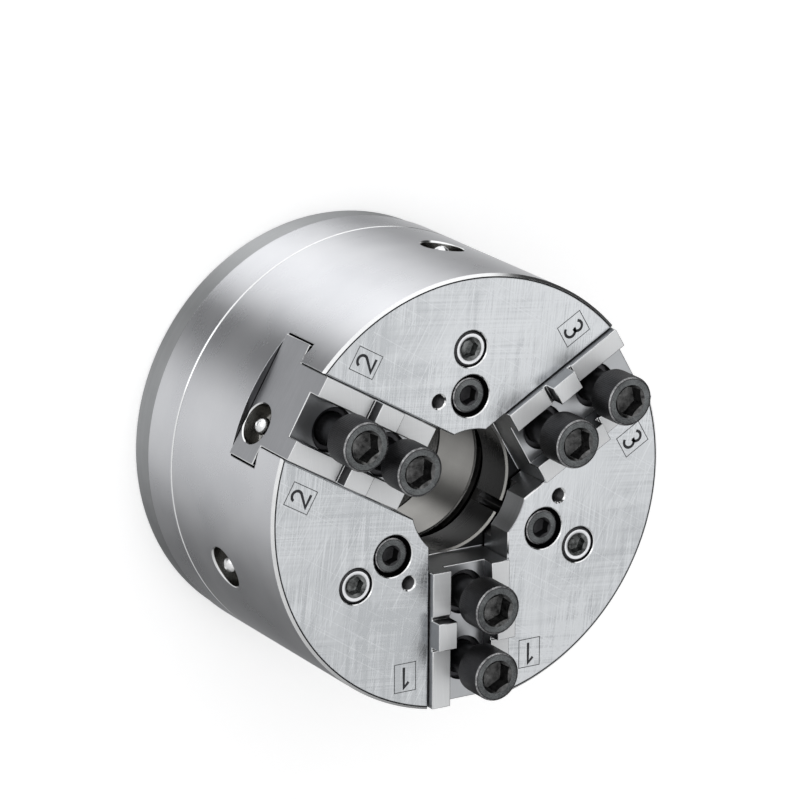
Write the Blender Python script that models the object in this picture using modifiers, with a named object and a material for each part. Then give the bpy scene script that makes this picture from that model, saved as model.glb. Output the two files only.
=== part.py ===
# Three-jaw power chuck with a wedge-hook piston, standing on its rear face.
# Lengths are in metres. +Z is the spindle axis and points out of the jaw face.
# The origin is the centre of the rear face, and jaw 1 points along -Y.
# Radii are built outwards from the bore and heights upwards from the rear face, so a thicker
# wall or a longer stroke carries along everything outside or above it. With the sizes below
# the chuck is 160 mm across and 102 mm deep without its jaws.

import math

import bmesh
import bpy
from mathutils import Matrix

mm = 0.001

# Facets of round pieces, from the large turned ones to the smallest
roundSteps = 48
ringSteps = 36
smallSteps = 16
screwSteps = 14
tinySteps = 10

# Gaps and edges
clearance = 0.3 * mm
stopGap = 0.8 * mm
faceChamfer = 0.75 * mm
seamChamfer = 0.4 * mm
overcut = 1.0 * mm
deepOvercut = 4.0 * mm

# Screws: shank radius, head radius, head height, key width across flats, key depth
jawScrew = {"shank": 5.9 * mm, "head": 9.0 * mm, "height": 12.0 * mm, "key": 10.0 * mm, "deep": 6.0 * mm}
faceScrew = {"shank": 4.0 * mm, "head": 6.5 * mm, "height": 8.0 * mm, "key": 6.0 * mm, "deep": 4.0 * mm}
plateScrew = {"shank": 3.0 * mm, "head": 5.0 * mm, "height": 6.0 * mm, "key": 5.0 * mm, "deep": 3.0 * mm}
headBevelShare = 0.12
tipBevelShare = 0.15

# Centre bore behind the jaw face
boreRadius = 23.7 * mm
boreLandDepth = 11.5 * mm
boreRelief = 3.5 * mm

# Wedge drive: the piston's inclined T-grooves carry the hooks of the jaws
wedgeAngle = math.radians(15.0)
halfStroke = 8.0 * mm
pistonBoreStep = 4.4 * mm
pistonTubeWall = 2.9 * mm
grooveWall = 1.0 * mm
tongueThickness = 4.6 * mm
lipThickness = 4.1 * mm
collarReach = 5.7 * mm
collarThickness = 11.65 * mm
tongueHalfWidth = 10.5 * mm
tongueShoulder = 4.0 * mm
towerWall = 4.5 * mm
towerStep = 0.4 * mm
towerRoot = 2.0 * mm
hookCheek = 0.5 * mm
hookFootHeight = 4.3 * mm
hookFootWall = 8.2 * mm
keyInset = 9.0 * mm
keyLength = 6.0 * mm
keyHeight = 3.9 * mm
guideBlockHeight = 8.1 * mm

# Draw nut and its snap ring, in the rear of the piston
nutWall = 4.9 * mm
nutLength = 12.9 * mm
nutSlotCount = 4
nutSlotWidth = 6.0 * mm
nutSlotDepth = 1.8 * mm
snapRingThickness = 1.0 * mm
snapRingLap = 2.5 * mm
snapGrooveDepth = 1.5 * mm
snapRingGap = math.radians(14.0)
skirtWall = 3.3 * mm
skirtLip = 0.9 * mm
skirtRearGap = 1.0 * mm

# Seals
wiperHeight = 2.0 * mm
wiperGrooveDepth = 1.8 * mm
wiperBelowSpigot = 1.1 * mm
skirtBoreGap = 0.5 * mm
sealCordRadius = 0.75 * mm
sealCordSides = 6

# Rear plate, with the short taper for the spindle nose
seamHeight = 28.9 * mm
bandHeight = 10.6 * mm
bandStep = 0.6 * mm
noseMouthRadius = 41.3 * mm
noseDepth = 11.0 * mm
noseTaper = 0.125
spigotHeight = 3.0 * mm
cavityWall = 2.0 * mm
spigotRim = 2.4 * mm
plateScrewInset = 7.0 * mm
bodyRim = 13.0 * mm

# Base jaws
jawCount = 3
firstJawAngle = math.radians(-90.0)
jawBoreStep = 2.95 * mm
jawSetback = 2.4 * mm
jawHalfWidth = 15.95 * mm
flangeOverhang = 7.2 * mm
flangeHeight = 16.1 * mm
flangeBoreStep = 2.0 * mm
slotLipDepth = 16.5 * mm
slotSideGap = 0.4 * mm
slotEdgeBreak = 0.3 * mm
railProud = 2.25 * mm
channelHalfWidth = 8.4 * mm
channelDepth = 5.65 * mm
tenonLength = 10.2 * mm
tenonProud = 4.3 * mm
tenonShift = 0.55 * mm
reliefWidth = 1.2 * mm
reliefDepth = 0.8 * mm

# Where the screws sit, and the holes of the jaw face
jawScrewInnerInset = 10.85 * mm
jawScrewOuterInset = 15.2 * mm
jawScrewStandOff = 11.4 * mm
jawScrewLength = 30.0 * mm
jawScrewRecess = 2.0 * mm
jawScrewRecessStep = 2.0 * mm
blockScrewInset = 8.0 * mm
blockScrewHeadGap = 1.25 * mm
blockScrewHeadDepth = 2.7 * mm
mountScrewHeadDepth = 0.8 * mm
mountScrewTip = 3.2 * mm
plateScrewSpread = math.radians(25.0)
plateScrewGrip = 15.6 * mm
plateScrewHeadDepth = 0.5 * mm
dowelRadius = 3.0 * mm
dowelLength = 18.0 * mm
dowelChamfer = 0.5 * mm
stopHoleRadius = 2.5 * mm
stopHoleShift = 2.1 * mm
stopHoleAngle = math.radians(19.8)
stopHoleDepth = 13.0 * mm
stopHoleChamfer = 1.0 * mm

# Grease nipples, each in a round recess
recessRadius = 8.0 * mm
recessDepth = 8.0 * mm
nippleBallRadius = 3.2 * mm
nippleBallSteps = 5
nippleBallStep = math.radians(32.0)
nippleNeckRadius = 2.3 * mm
nippleNeckFlare = 0.4 * mm
nippleHexRadius = 4.0 * mm
nippleHexHeight = 3.2 * mm
nippleHeight = 7.6 * mm
nippleShank = 3.0 * mm
nippleShankLength = 4.5 * mm
bodyNippleAngle = math.radians(-10.0)
bodyNippleRise = 30.6 * mm
jawNippleSide = 9.6 * mm
jawNippleRise = 7.6 * mm

# Heights, upwards from the rear face
plateTop = seamHeight - clearance / 2
bodyBottom = seamHeight + clearance / 2
spigotTop = plateTop + spigotHeight
hookBottom = spigotTop + hookFootHeight
collarBottom = spigotTop + halfStroke + stopGap
collarTop = collarBottom + collarThickness
blockBottom = collarTop + halfStroke + stopGap
slotFloor = blockBottom + guideBlockHeight
pistonTop = slotFloor - halfStroke - stopGap
flangeBottom = slotFloor + clearance
flangeTop = flangeBottom + flangeHeight
slideHeight = (flangeBottom + flangeTop) / 2
chuckHeight = flangeTop + slotLipDepth
railTop = chuckHeight + railProud
channelFloor = railTop - channelDepth
tenonTop = railTop + tenonProud
skirtBottom = noseDepth + halfStroke + skirtRearGap
snapGrooveLow = skirtBottom + skirtLip
nutBottom = snapGrooveLow + snapRingThickness + 2 * clearance
mountSeat = chuckHeight - mountScrewHeadDepth - faceScrew["height"] - clearance
blockSeat = chuckHeight - blockScrewHeadDepth - faceScrew["height"] - clearance
plateScrewSeat = plateScrewHeadDepth + plateScrew["height"]
plateScrewLength = seamHeight - plateScrewSeat + plateScrewGrip
bodyNippleHeight = seamHeight + bodyNippleRise
jawNippleHeight = flangeBottom + jawNippleRise

# Radii, outwards from the bore. Those of the inclined faces hold at the height of the piston's top
jawStroke = halfStroke * math.tan(wedgeAngle)
boreReliefRadius = boreRadius + boreRelief
pistonBore = boreRadius + pistonBoreStep
pistonTube = pistonBore + pistonTubeWall
nutRadius = pistonBore + nutWall
nutSeatRadius = nutRadius + clearance
skirtRadius = nutSeatRadius + skirtWall
snapGrooveRadius = nutSeatRadius + snapGrooveDepth
tongueInner = pistonTube + grooveWall
grooveInner = tongueInner - clearance
lipInner = tongueInner + tongueThickness + clearance
padRadius = lipInner + lipThickness
hookPad = padRadius + clearance
pistonRadius = padRadius + collarReach
cavityRadius = pistonRadius + clearance
mountScrewRadius = cavityRadius + cavityWall + clearance + faceScrew["shank"]
spigotRadius = mountScrewRadius + faceScrew["shank"] + clearance + spigotRim
plateScrewRadius = spigotRadius + plateScrewInset
bodyRadius = plateScrewRadius + bodyRim
bandRadius = bodyRadius - bandStep
hookOuter = hookPad + (pistonTop - hookBottom) * math.tan(wedgeAngle) + hookFootWall
keyStart = hookOuter - keyInset
blockScrewRadius = pistonBore + blockScrewInset
stopHoleCircle = blockScrewRadius + stopHoleShift
jawInner = boreRadius + jawBoreStep
jawOuter = bodyRadius - jawSetback
flangeBoreRadius = boreRadius + flangeBoreStep
jawScrewRadii = {"inner": jawInner + jawScrewInnerInset, "outer": jawOuter - jawScrewOuterInset}
tenonStart = sum(jawScrewRadii.values()) / 2 - tenonLength / 2 - tenonShift

# Half widths across a jaw
flangeHalfWidth = jawHalfWidth + flangeOverhang
tongueNeckHalfWidth = tongueHalfWidth - tongueShoulder
hookHalfWidth = tongueHalfWidth + hookCheek
towerHalfWidth = tongueHalfWidth + towerWall

jawAngles = [firstJawAngle - index * math.tau / jawCount for index in range(jawCount)]
sectorAngles = [angle + math.pi for angle in jawAngles]
plateScrewAngles = [angle + side * plateScrewSpread for angle in sectorAngles for side in (-1, 1)]
dowelAngle = jawAngles[0]


def clearScene():
    for item in list(bpy.data.objects):
        bpy.data.objects.remove(item, do_unlink=True)


def newCollection(name):
    collection = bpy.data.collections.new(name)
    bpy.context.scene.collection.children.link(collection)
    return collection


def makeMaterial(name, colour, roughness, metallic):
    material = bpy.data.materials.new(name)
    material.use_nodes = True
    shader = material.node_tree.nodes["Principled BSDF"]
    shader.inputs["Base Color"].default_value = (*colour, 1.0)
    shader.inputs["Roughness"].default_value = roughness
    shader.inputs["Metallic"].default_value = metallic
    material.diffuse_color = (*colour, 1.0)
    return material


def addObject(name, mesh, collection):
    item = bpy.data.objects.new(name, mesh)
    collection.objects.link(item)
    return item


def turn(angle):
    return Matrix.Rotation(angle, 4, "Z")


def shift(x, y, z):
    return Matrix.Translation((x, y, z))


# Quarter turns with exact entries, so that faces meant to be level stay level
# outward stands a piece's own +Z axis along +X, away from the spindle axis
outward = Matrix(((0, 0, 1, 0), (0, 1, 0, 0), (-1, 0, 0, 0), (0, 0, 0, 1)))
# upright stands an outline drawn as (radius, height) in the upright plane of a jaw
upright = Matrix(((1, 0, 0, 0), (0, 0, -1, 0), (0, 1, 0, 0), (0, 0, 0, 1)))
# across stands an outline drawn as (side, height) square to a jaw
across = Matrix(((0, 0, 1, 0), (1, 0, 0, 0), (0, 1, 0, 0), (0, 0, 0, 1)))


def turned(name, profile, steps, collection, closed=True):
    """A solid of revolution about Z. The profile (radius, height) runs down its outer side."""
    mesh = bpy.data.meshes.new(name)
    # It starts half a step round, so that no facet's edge passes through the middle of a hole
    start = math.pi / steps
    startX, startY = math.cos(start), math.sin(start)
    points = [(radius * startX, radius * startY, height) for radius, height in profile]
    edges = [(index, index + 1) for index in range(len(points) - 1)]
    if closed:
        edges.append((len(points) - 1, 0))
    mesh.from_pydata(points, edges, [])
    item = addObject(name, mesh, collection)
    screw = item.modifiers.new("Turn", "SCREW")
    screw.axis = "Z"
    screw.angle = math.tau
    screw.steps = steps
    screw.render_steps = steps
    screw.use_merge_vertices = True
    screw.merge_threshold = 0.00001
    return item


def round_(name, radius, low, high, steps, collection, matrix=Matrix(), topRadius=None):
    """A cylinder or cone along Z from low to high, placed by the matrix."""
    mesh = bpy.data.meshes.new(name)
    work = bmesh.new()
    end = radius if topRadius is None else topRadius
    bmesh.ops.create_cone(work, cap_ends=True, segments=steps, radius1=radius, radius2=end, depth=high - low)
    bmesh.ops.transform(work, matrix=matrix @ shift(0.0, 0.0, (low + high) / 2), verts=work.verts)
    work.to_mesh(mesh)
    work.free()
    return addObject(name, mesh, collection)


def box(name, low, high, collection, matrix=Matrix()):
    """A box between two corners, placed by the matrix."""
    mesh = bpy.data.meshes.new(name)
    work = bmesh.new()
    bmesh.ops.create_cube(work, size=1.0)
    size = [high[axis] - low[axis] for axis in range(3)]
    middle = [(high[axis] + low[axis]) / 2 for axis in range(3)]
    scale = Matrix.Diagonal((*size, 1.0))
    bmesh.ops.transform(work, matrix=matrix @ shift(*middle) @ scale, verts=work.verts)
    work.to_mesh(mesh)
    work.free()
    return addObject(name, mesh, collection)


def prism(name, outline, halfDepth, collection, matrix=Matrix()):
    """A flat outline in XY, extruded by halfDepth both ways along Z and placed by the matrix."""
    curve = bpy.data.curves.new(name, "CURVE")
    curve.dimensions = "2D"
    curve.fill_mode = "BOTH"
    curve.extrude = halfDepth
    spline = curve.splines.new("POLY")
    spline.points.add(len(outline) - 1)
    for point, (x, y) in zip(spline.points, outline):
        point.co = (x, y, 0.0, 1.0)
    spline.use_cyclic_u = True
    outlineItem = addObject(name + "_outline", curve, collection)
    mesh = bakedMesh(outlineItem)
    mesh.name = name
    bpy.data.objects.remove(outlineItem, do_unlink=True)
    mesh.transform(matrix)
    return addObject(name, mesh, collection)


def bakedMesh(item):
    """The object's mesh with its modifiers applied and its seams welded."""
    bpy.context.view_layer.update()
    seen = item.evaluated_get(bpy.context.evaluated_depsgraph_get())
    mesh = bpy.data.meshes.new_from_object(seen)
    work = bmesh.new()
    work.from_mesh(mesh)
    bmesh.ops.remove_doubles(work, verts=work.verts, dist=0.000001)
    work.to_mesh(mesh)
    work.free()
    return mesh


def combine(target, tool, operation="DIFFERENCE"):
    """Adds a live Boolean, and hides the tool as a guide."""
    step = target.modifiers.new(operation.title(), "BOOLEAN")
    step.operation = operation
    step.object = tool
    step.solver = "EXACT"
    tool.hide_render = True
    tool.display_type = "WIRE"


def settle(item):
    """Turns a prototype with its modifiers into a plain mesh that copies can share."""
    tools = [step.object for step in item.modifiers if step.type == "BOOLEAN"]
    mesh = bakedMesh(item)
    mesh.name = item.name
    for tool in tools:
        bpy.data.objects.remove(tool, do_unlink=True)
    bpy.data.objects.remove(item, do_unlink=True)
    mesh.shade_smooth()
    mesh.set_sharp_from_angle(angle=math.radians(28.0))
    return mesh


def place(name, mesh, material, parent, matrix=Matrix()):
    """A named piece that shares a mesh and rides on its parent."""
    if not mesh.materials:
        mesh.materials.append(material)
    item = addObject(name, mesh, parts)
    item.parent = parent
    item.matrix_local = matrix
    return item


def emptyAt(name, angle, height):
    item = bpy.data.objects.new(name, None)
    parts.objects.link(item)
    item.empty_display_size = 0.02
    item.matrix_world = shift(0.0, 0.0, height) @ turn(angle)
    return item


def wedgeLine(radius, height):
    """Where an inclined face lies at a height, from its radius at the piston's top."""
    return radius + (pistonTop - height) * math.tan(wedgeAngle)


def wedgeOutline(inner, outer, low, high):
    """A slab between two inclined faces, as (radius, height) points."""
    return [
        (wedgeLine(inner, low), low),
        (wedgeLine(outer, low), low),
        (wedgeLine(outer, high), high),
        (wedgeLine(inner, high), high),
    ]


def makeScrew(name, size, length, steps):
    """A socket-head screw along Z, with its head's underside at the origin."""
    bevel = size["head"] * headBevelShare
    tip = size["shank"] * tipBevelShare
    profile = [
        (0.0, size["height"]),
        (size["head"] - bevel, size["height"]),
        (size["head"], size["height"] - bevel),
        (size["head"], 0.0),
        (size["shank"], 0.0),
        (size["shank"], tip - length),
        (size["shank"] - tip, -length),
        (0.0, -length),
    ]
    screw = turned(name, profile, steps, guides, closed=False)
    cornerRadius = size["key"] / 2 / math.cos(math.pi / 6)
    low = size["height"] - size["deep"]
    high = size["height"] + clearance
    combine(screw, round_(name + "_key", cornerRadius, low, high, 6, guides))
    return settle(screw)


def makeNipple():
    """A grease nipple along Z, with the seat of its hexagon at the origin."""
    ballHeight = nippleHeight - nippleBallRadius
    profile = [(0.0, nippleHeight)]
    for index in range(1, nippleBallSteps):
        angle = math.pi / 2 - index * nippleBallStep
        height = ballHeight + nippleBallRadius * math.sin(angle)
        profile.append((nippleBallRadius * math.cos(angle), height))
    profile += [
        (nippleNeckRadius, nippleHexHeight + nippleNeckFlare),
        (nippleNeckRadius + nippleNeckFlare, nippleHexHeight - nippleNeckFlare),
        (nippleShank, nippleHexHeight / 5),
        (nippleShank, -nippleShankLength),
        (0.0, -nippleShankLength),
    ]
    nipple = turned("nipple_shape", profile, tinySteps, guides, closed=False)
    combine(nipple, round_("nipple_hex", nippleHexRadius, 0.0, nippleHexHeight, 6, guides), "UNION")
    return settle(nipple)


def steppedHole(target, name, outline, steps, matrix):
    """Cuts a turned hole. The outline (radius, height) runs from its top to its bottom."""
    profile = [(0.0, outline[0][1])] + outline + [(0.0, outline[-1][1])]
    tool = turned(name, profile, steps, guides, closed=False)
    tool.matrix_world = matrix
    combine(target, tool)


def screwHole(target, name, size, headRadius, seat, high, low, matrix):
    """A clearance hole along Z with a counterbore from the seat up to high."""
    shank = size["shank"] + clearance
    outline = [(headRadius, high), (headRadius, seat), (shank, seat), (shank, low)]
    steppedHole(target, name, outline, smallSteps, matrix)


def nippleRecess(target, name, matrix, over):
    """A round recess with a broken edge and the nipple's own hole below it."""
    hole = nippleShank + clearance
    low = -recessDepth - nippleShankLength - 2 * clearance
    outline = [(recessRadius, over), (recessRadius, -recessDepth), (hole, -recessDepth), (hole, low)]
    steppedHole(target, name, outline, smallSteps, matrix)


def makeChuckBody():
    """The one-piece body, with T-slots, bore, wedge cavity and the holes of its face."""
    profile = [
        (bodyRadius - faceChamfer, chuckHeight),
        (bodyRadius, chuckHeight - faceChamfer),
        (bodyRadius, bodyBottom + seamChamfer),
        (bodyRadius - seamChamfer, bodyBottom),
        (spigotRadius + clearance, bodyBottom),
        (spigotRadius + clearance, spigotTop + clearance),
        (cavityRadius, spigotTop + clearance),
        (cavityRadius, slotFloor + clearance),
        (boreReliefRadius, slotFloor + clearance),
        (boreReliefRadius, chuckHeight - boreLandDepth),
        (boreRadius, chuckHeight - boreLandDepth),
        (boreRadius, chuckHeight),
    ]
    body = turned("chuck_body", profile, roundSteps, parts)
    beyond = bodyRadius + deepOvercut
    above = railTop + deepOvercut
    neckHalf = jawHalfWidth + slotSideGap
    flangeHalf = flangeHalfWidth + clearance
    # A wide V between the slot's walls that breaks their upper edges at 45 degrees
    edgeTop = chuckHeight + overcut
    edgeHalf = neckHalf + slotEdgeBreak + overcut
    edgeOutline = [(-edgeHalf, edgeTop), (edgeHalf, edgeTop), (0.0, edgeTop - edgeHalf)]
    pocketHalf = hookHalfWidth + clearance + overcut / 10
    pocketEnd = hookOuter + jawStroke + 2 * clearance
    for index, angle in enumerate(jawAngles, 1):
        here = turn(angle)
        neck = box(f"neck_slot_{index}", (0.0, -neckHalf, slotFloor + flangeHeight / 2),
                   (beyond, neckHalf, above), guides, here)
        flange = box(f"flange_slot_{index}", (0.0, -flangeHalf, slotFloor),
                     (beyond, flangeHalf, flangeTop + clearance), guides, here)
        pocket = box(f"hook_pocket_{index}", (wedgeLine(padRadius, flangeTop), -pocketHalf, spigotTop),
                     (pocketEnd, pocketHalf, slotFloor + clearance), guides, here)
        alongSlot = here @ shift(beyond / 2, 0.0, 0.0) @ across
        edge = prism(f"slot_edge_{index}", edgeOutline, beyond / 2, guides, alongSlot)
        for tool in (neck, flange, pocket, edge):
            combine(body, tool)
    for index, angle in enumerate(sectorAngles, 1):
        here = turn(angle)
        at = here @ shift(mountScrewRadius, 0.0, 0.0)
        screwHole(body, f"mount_hole_{index}", faceScrew, faceScrew["head"] + clearance,
                  mountSeat, above, bodyBottom - overcut, at)
        at = here @ shift(blockScrewRadius, 0.0, 0.0)
        screwHole(body, f"block_hole_{index}", faceScrew, faceScrew["head"] + blockScrewHeadGap,
                  blockSeat, above, slotFloor, at)
        at = turn(angle + stopHoleAngle) @ shift(stopHoleCircle, 0.0, chuckHeight)
        outline = [
            (stopHoleRadius + 2 * stopHoleChamfer, stopHoleChamfer),
            (stopHoleRadius, -stopHoleChamfer),
            (stopHoleRadius, -stopHoleDepth),
        ]
        steppedHole(body, f"stop_hole_{index}", outline, tinySteps, at)
        at = turn(angle + bodyNippleAngle) @ shift(bodyRadius, 0.0, bodyNippleHeight) @ outward
        nippleRecess(body, f"body_recess_{index}", at, recessRadius)
    threadTop = plateScrewSeat + plateScrewLength + overcut
    for index, angle in enumerate(plateScrewAngles, 1):
        at = turn(angle) @ shift(plateScrewRadius, 0.0, 0.0)
        thread = plateScrew["shank"] + clearance
        combine(body, round_(f"plate_thread_{index}", thread, 0.0, threadTop, tinySteps, guides, at))
    at = turn(dowelAngle) @ shift(plateScrewRadius, 0.0, 0.0)
    high = seamHeight + dowelLength / 2 + 2 * clearance
    combine(body, round_("dowel_hole_body", dowelRadius + clearance, 0.0, high, tinySteps, guides, at))
    return body


def makeRearPlate():
    """The plate behind the body, with a spigot in front and a short taper behind."""
    skirtBore = skirtRadius + skirtBoreGap
    grooveTop = spigotTop - wiperBelowSpigot + clearance
    grooveLow = grooveTop - wiperHeight - 2 * clearance
    grooveRadius = skirtBore + wiperGrooveDepth
    sealMiddle = plateTop + spigotHeight / 2
    sealHalf = sealCordRadius + clearance
    sealFloor = spigotRadius - 2 * sealHalf
    profile = [
        (bodyRadius - seamChamfer, plateTop),
        (bodyRadius, plateTop - seamChamfer),
        (bodyRadius, bandHeight + bandStep),
        (bandRadius, bandHeight),
        (bandRadius, faceChamfer),
        (bandRadius - faceChamfer, 0.0),
        (noseMouthRadius, 0.0),
        (noseMouthRadius - noseDepth * noseTaper, noseDepth),
        (skirtBore, noseDepth),
        (skirtBore, grooveLow),
        (grooveRadius, grooveLow),
        (grooveRadius, grooveTop),
        (skirtBore, grooveTop),
        (skirtBore, spigotTop),
        (spigotRadius, spigotTop),
        (spigotRadius, sealMiddle + sealHalf),
        (sealFloor, sealMiddle + sealHalf),
        (sealFloor, sealMiddle - sealHalf),
        (spigotRadius, sealMiddle - sealHalf),
        (spigotRadius, plateTop),
    ]
    plate = turned("rear_plate", profile, roundSteps, parts)
    above = spigotTop + overcut
    for index, angle in enumerate(sectorAngles, 1):
        at = turn(angle) @ shift(mountScrewRadius, 0.0, 0.0)
        shank = faceScrew["shank"] + clearance
        combine(plate, round_(f"mount_pass_{index}", shank, -overcut, above, smallSteps, guides, at))
    for index, angle in enumerate(plateScrewAngles, 1):
        at = turn(angle) @ shift(plateScrewRadius, 0.0, 0.0)
        shank = plateScrew["shank"] + clearance
        head = plateScrew["head"] + clearance
        seat = plateScrewSeat + clearance
        outline = [(shank, above), (shank, seat), (head, seat), (head, -overcut)]
        steppedHole(plate, f"plate_pass_{index}", outline, tinySteps, at)
    at = turn(dowelAngle) @ shift(plateScrewRadius, 0.0, 0.0)
    low = seamHeight - dowelLength / 2 - 2 * clearance
    combine(plate, round_("dowel_hole_plate", dowelRadius + clearance, low, above, tinySteps, guides, at))
    return plate


def makePiston():
    """The wedge piston: a collar with three towers, each cut by an inclined T-groove."""
    nutCeiling = nutBottom + nutLength + clearance
    roughBore = pistonBore - overcut
    profile = [
        (pistonTube, pistonTop),
        (pistonTube, collarTop),
        (pistonRadius, collarTop),
        (pistonRadius, collarBottom),
        (skirtRadius, collarBottom),
        (skirtRadius, skirtBottom),
        (nutSeatRadius, skirtBottom),
        (nutSeatRadius, snapGrooveLow),
        (snapGrooveRadius, snapGrooveLow),
        (snapGrooveRadius, nutBottom),
        (nutSeatRadius, nutBottom),
        (nutSeatRadius, nutCeiling),
        (roughBore, nutCeiling),
        (roughBore, pistonTop),
    ]
    piston = turned("wedge_piston", profile, roundSteps, parts)
    low = collarBottom - deepOvercut
    high = pistonTop + deepOvercut
    beyond = pistonRadius + 2 * deepOvercut
    towerLow = collarTop - towerRoot
    towerTop = pistonTop - towerStep
    towerInner = pistonBore - deepOvercut
    trim = pistonRadius - towerStep / 2
    towerOutline = [
        (towerInner, towerLow),
        (wedgeLine(padRadius + overcut, towerLow), towerLow),
        (wedgeLine(padRadius + overcut, towerTop), towerTop),
        (towerInner, towerTop),
    ]
    for index, angle in enumerate(jawAngles, 1):
        here = turn(angle) @ upright
        tower = prism(f"tower_{index}", towerOutline, towerHalfWidth, guides, here)
        combine(tower, round_(f"tower_trim_{index}", trim, 0.0, chuckHeight, roundSteps, guides), "INTERSECT")
        combine(piston, tower, "UNION")
    combine(piston, round_("piston_bore", pistonBore, 0.0, chuckHeight, roundSteps, guides))
    for index, angle in enumerate(jawAngles, 1):
        here = turn(angle) @ upright
        far = wedgeOutline(padRadius, beyond, low, high)
        combine(piston, prism(f"pad_{index}", far, towerHalfWidth + clearance, guides, here))
        wide = wedgeOutline(grooveInner, lipInner, low, high)
        combine(piston, prism(f"groove_{index}", wide, tongueHalfWidth + clearance, guides, here))
        mouth = wedgeOutline(lipInner - overcut / 2, beyond, low, high)
        combine(piston, prism(f"mouth_{index}", mouth, tongueNeckHalfWidth + clearance, guides, here))
    return piston


def makeJaw():
    """A base jaw along +X: T-guide, two rails, cross tenon, screw holes and key slot."""
    root = flangeBoreRadius / 3
    # The neck is longer than the flange until both are cut off together
    flangeEnd = jawOuter + deepOvercut
    neckEnd = flangeEnd + overcut
    beyond = neckEnd + deepOvercut
    wide = flangeHalfWidth + deepOvercut
    high = tenonTop + deepOvercut
    neckLow = flangeTop - deepOvercut
    tenonEnd = tenonStart + tenonLength
    rail = reliefWidth / 2
    low = (root, -flangeHalfWidth, flangeBottom)
    jaw = box("jaw_shape", low, (flangeEnd, flangeHalfWidth, flangeTop), guides)
    neck = box("jaw_neck", (jawInner, -jawHalfWidth, neckLow), (neckEnd, jawHalfWidth, tenonTop), guides)
    combine(jaw, neck, "UNION")
    combine(jaw, box("outer_end", (jawOuter, -wide, 0.0), (beyond, wide, high), guides))
    for name, edge in (("inner", tenonStart - reliefWidth), ("outer", tenonEnd)):
        low = (edge, -wide, railTop - reliefDepth)
        combine(jaw, box(f"relief_{name}", low, (edge + reliefWidth, wide, high), guides))
    combine(jaw, box("inner_rails", (0.0, -wide, railTop), (tenonStart - rail, wide, high), guides))
    combine(jaw, box("outer_rails", (tenonEnd + rail, -wide, railTop), (beyond, wide, high), guides))
    low = (0.0, -channelHalfWidth, channelFloor)
    combine(jaw, box("channel", low, (beyond, channelHalfWidth, high), guides))
    combine(jaw, round_("flange_bore", flangeBoreRadius, 0.0, high, roundSteps, guides))
    # Inner corners are cut back to the bisectors between the jaws, clear of them when closed
    apex = jawStroke + 1.5 * clearance
    halfSector = math.pi / jawCount
    for name, side in (("right", -1), ("left", 1)):
        mitre = [
            (apex, 0.0),
            (apex - bodyRadius, 0.0),
            (apex - bodyRadius, side * 2 * bodyRadius),
            (apex + bodyRadius * math.cos(halfSector), side * bodyRadius * math.sin(halfSector)),
        ]
        tool = prism(f"mitre_{name}", mitre, chuckHeight, guides, shift(0.0, 0.0, chuckHeight / 2))
        combine(jaw, tool)
    low = channelFloor + jawScrewStandOff - jawScrewLength - 2 * clearance
    for name, radius in jawScrewRadii.items():
        screwHole(jaw, f"thread_{name}", jawScrew, jawScrew["shank"] + jawScrewRecessStep,
                  channelFloor - jawScrewRecess, railTop, low, shift(radius, 0.0, 0.0))
    keyHalf = hookHalfWidth + clearance
    keyLow = (keyStart - clearance, -keyHalf, flangeBottom - overcut)
    keyHigh = (keyStart + keyLength + clearance, keyHalf, slotFloor + keyHeight + clearance)
    combine(jaw, box("key_slot", keyLow, keyHigh, guides))
    at = shift(jawOuter, jawNippleSide, jawNippleHeight) @ outward
    nippleRecess(jaw, "jaw_recess", at, overcut)
    mesh = settle(jaw)
    mesh.transform(shift(0.0, 0.0, -slideHeight))
    return mesh


def makeHook():
    """The wedge hook below a jaw: a key on top and an inclined T-tongue inside."""
    top = slotFloor
    outline = [
        (wedgeLine(hookPad, hookBottom), hookBottom),
        (hookOuter, hookBottom),
        (hookOuter, top),
        (keyStart + keyLength, top),
        (keyStart + keyLength, top + keyHeight),
        (keyStart, top + keyHeight),
        (keyStart, top),
        (wedgeLine(hookPad, top), top),
    ]
    hook = prism("hook_shape", outline, hookHalfWidth, guides, upright)
    neckTop = pistonTop - clearance
    neck = wedgeOutline(tongueInner + tongueThickness / 2, hookPad + 2 * overcut, hookBottom, neckTop)
    combine(hook, prism("hook_neck", neck, tongueNeckHalfWidth, guides, upright), "UNION")
    tongue = wedgeOutline(tongueInner, tongueInner + tongueThickness, hookBottom, pistonTop)
    combine(hook, prism("hook_tongue", tongue, tongueHalfWidth, guides, upright), "UNION")
    mesh = settle(hook)
    mesh.transform(shift(0.0, 0.0, -slideHeight))
    return mesh


def makeGuideBlock():
    """A block between two towers that keys the piston and stops it at the front."""
    inner = pistonTube + clearance
    profile = [(pistonRadius, slotFloor), (pistonRadius, blockBottom), (inner, blockBottom), (inner, slotFloor)]
    block = turned("block_shape", profile, roundSteps, guides)
    halfSector = math.pi / jawCount
    apex = (towerHalfWidth + clearance) / math.sin(halfSector)
    reach = 2 * bodyRadius
    wedge = [
        (apex, 0.0),
        (apex + reach * math.cos(halfSector), -reach * math.sin(halfSector)),
        (apex + reach * math.cos(halfSector), reach * math.sin(halfSector)),
    ]
    sector = prism("block_sector", wedge, chuckHeight, guides)
    combine(block, sector, "INTERSECT")
    at = shift(blockScrewRadius, 0.0, 0.0)
    thread = faceScrew["shank"] + clearance
    combine(block, round_("block_thread", thread, 0.0, chuckHeight, smallSteps, guides, at))
    return settle(block)


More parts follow.
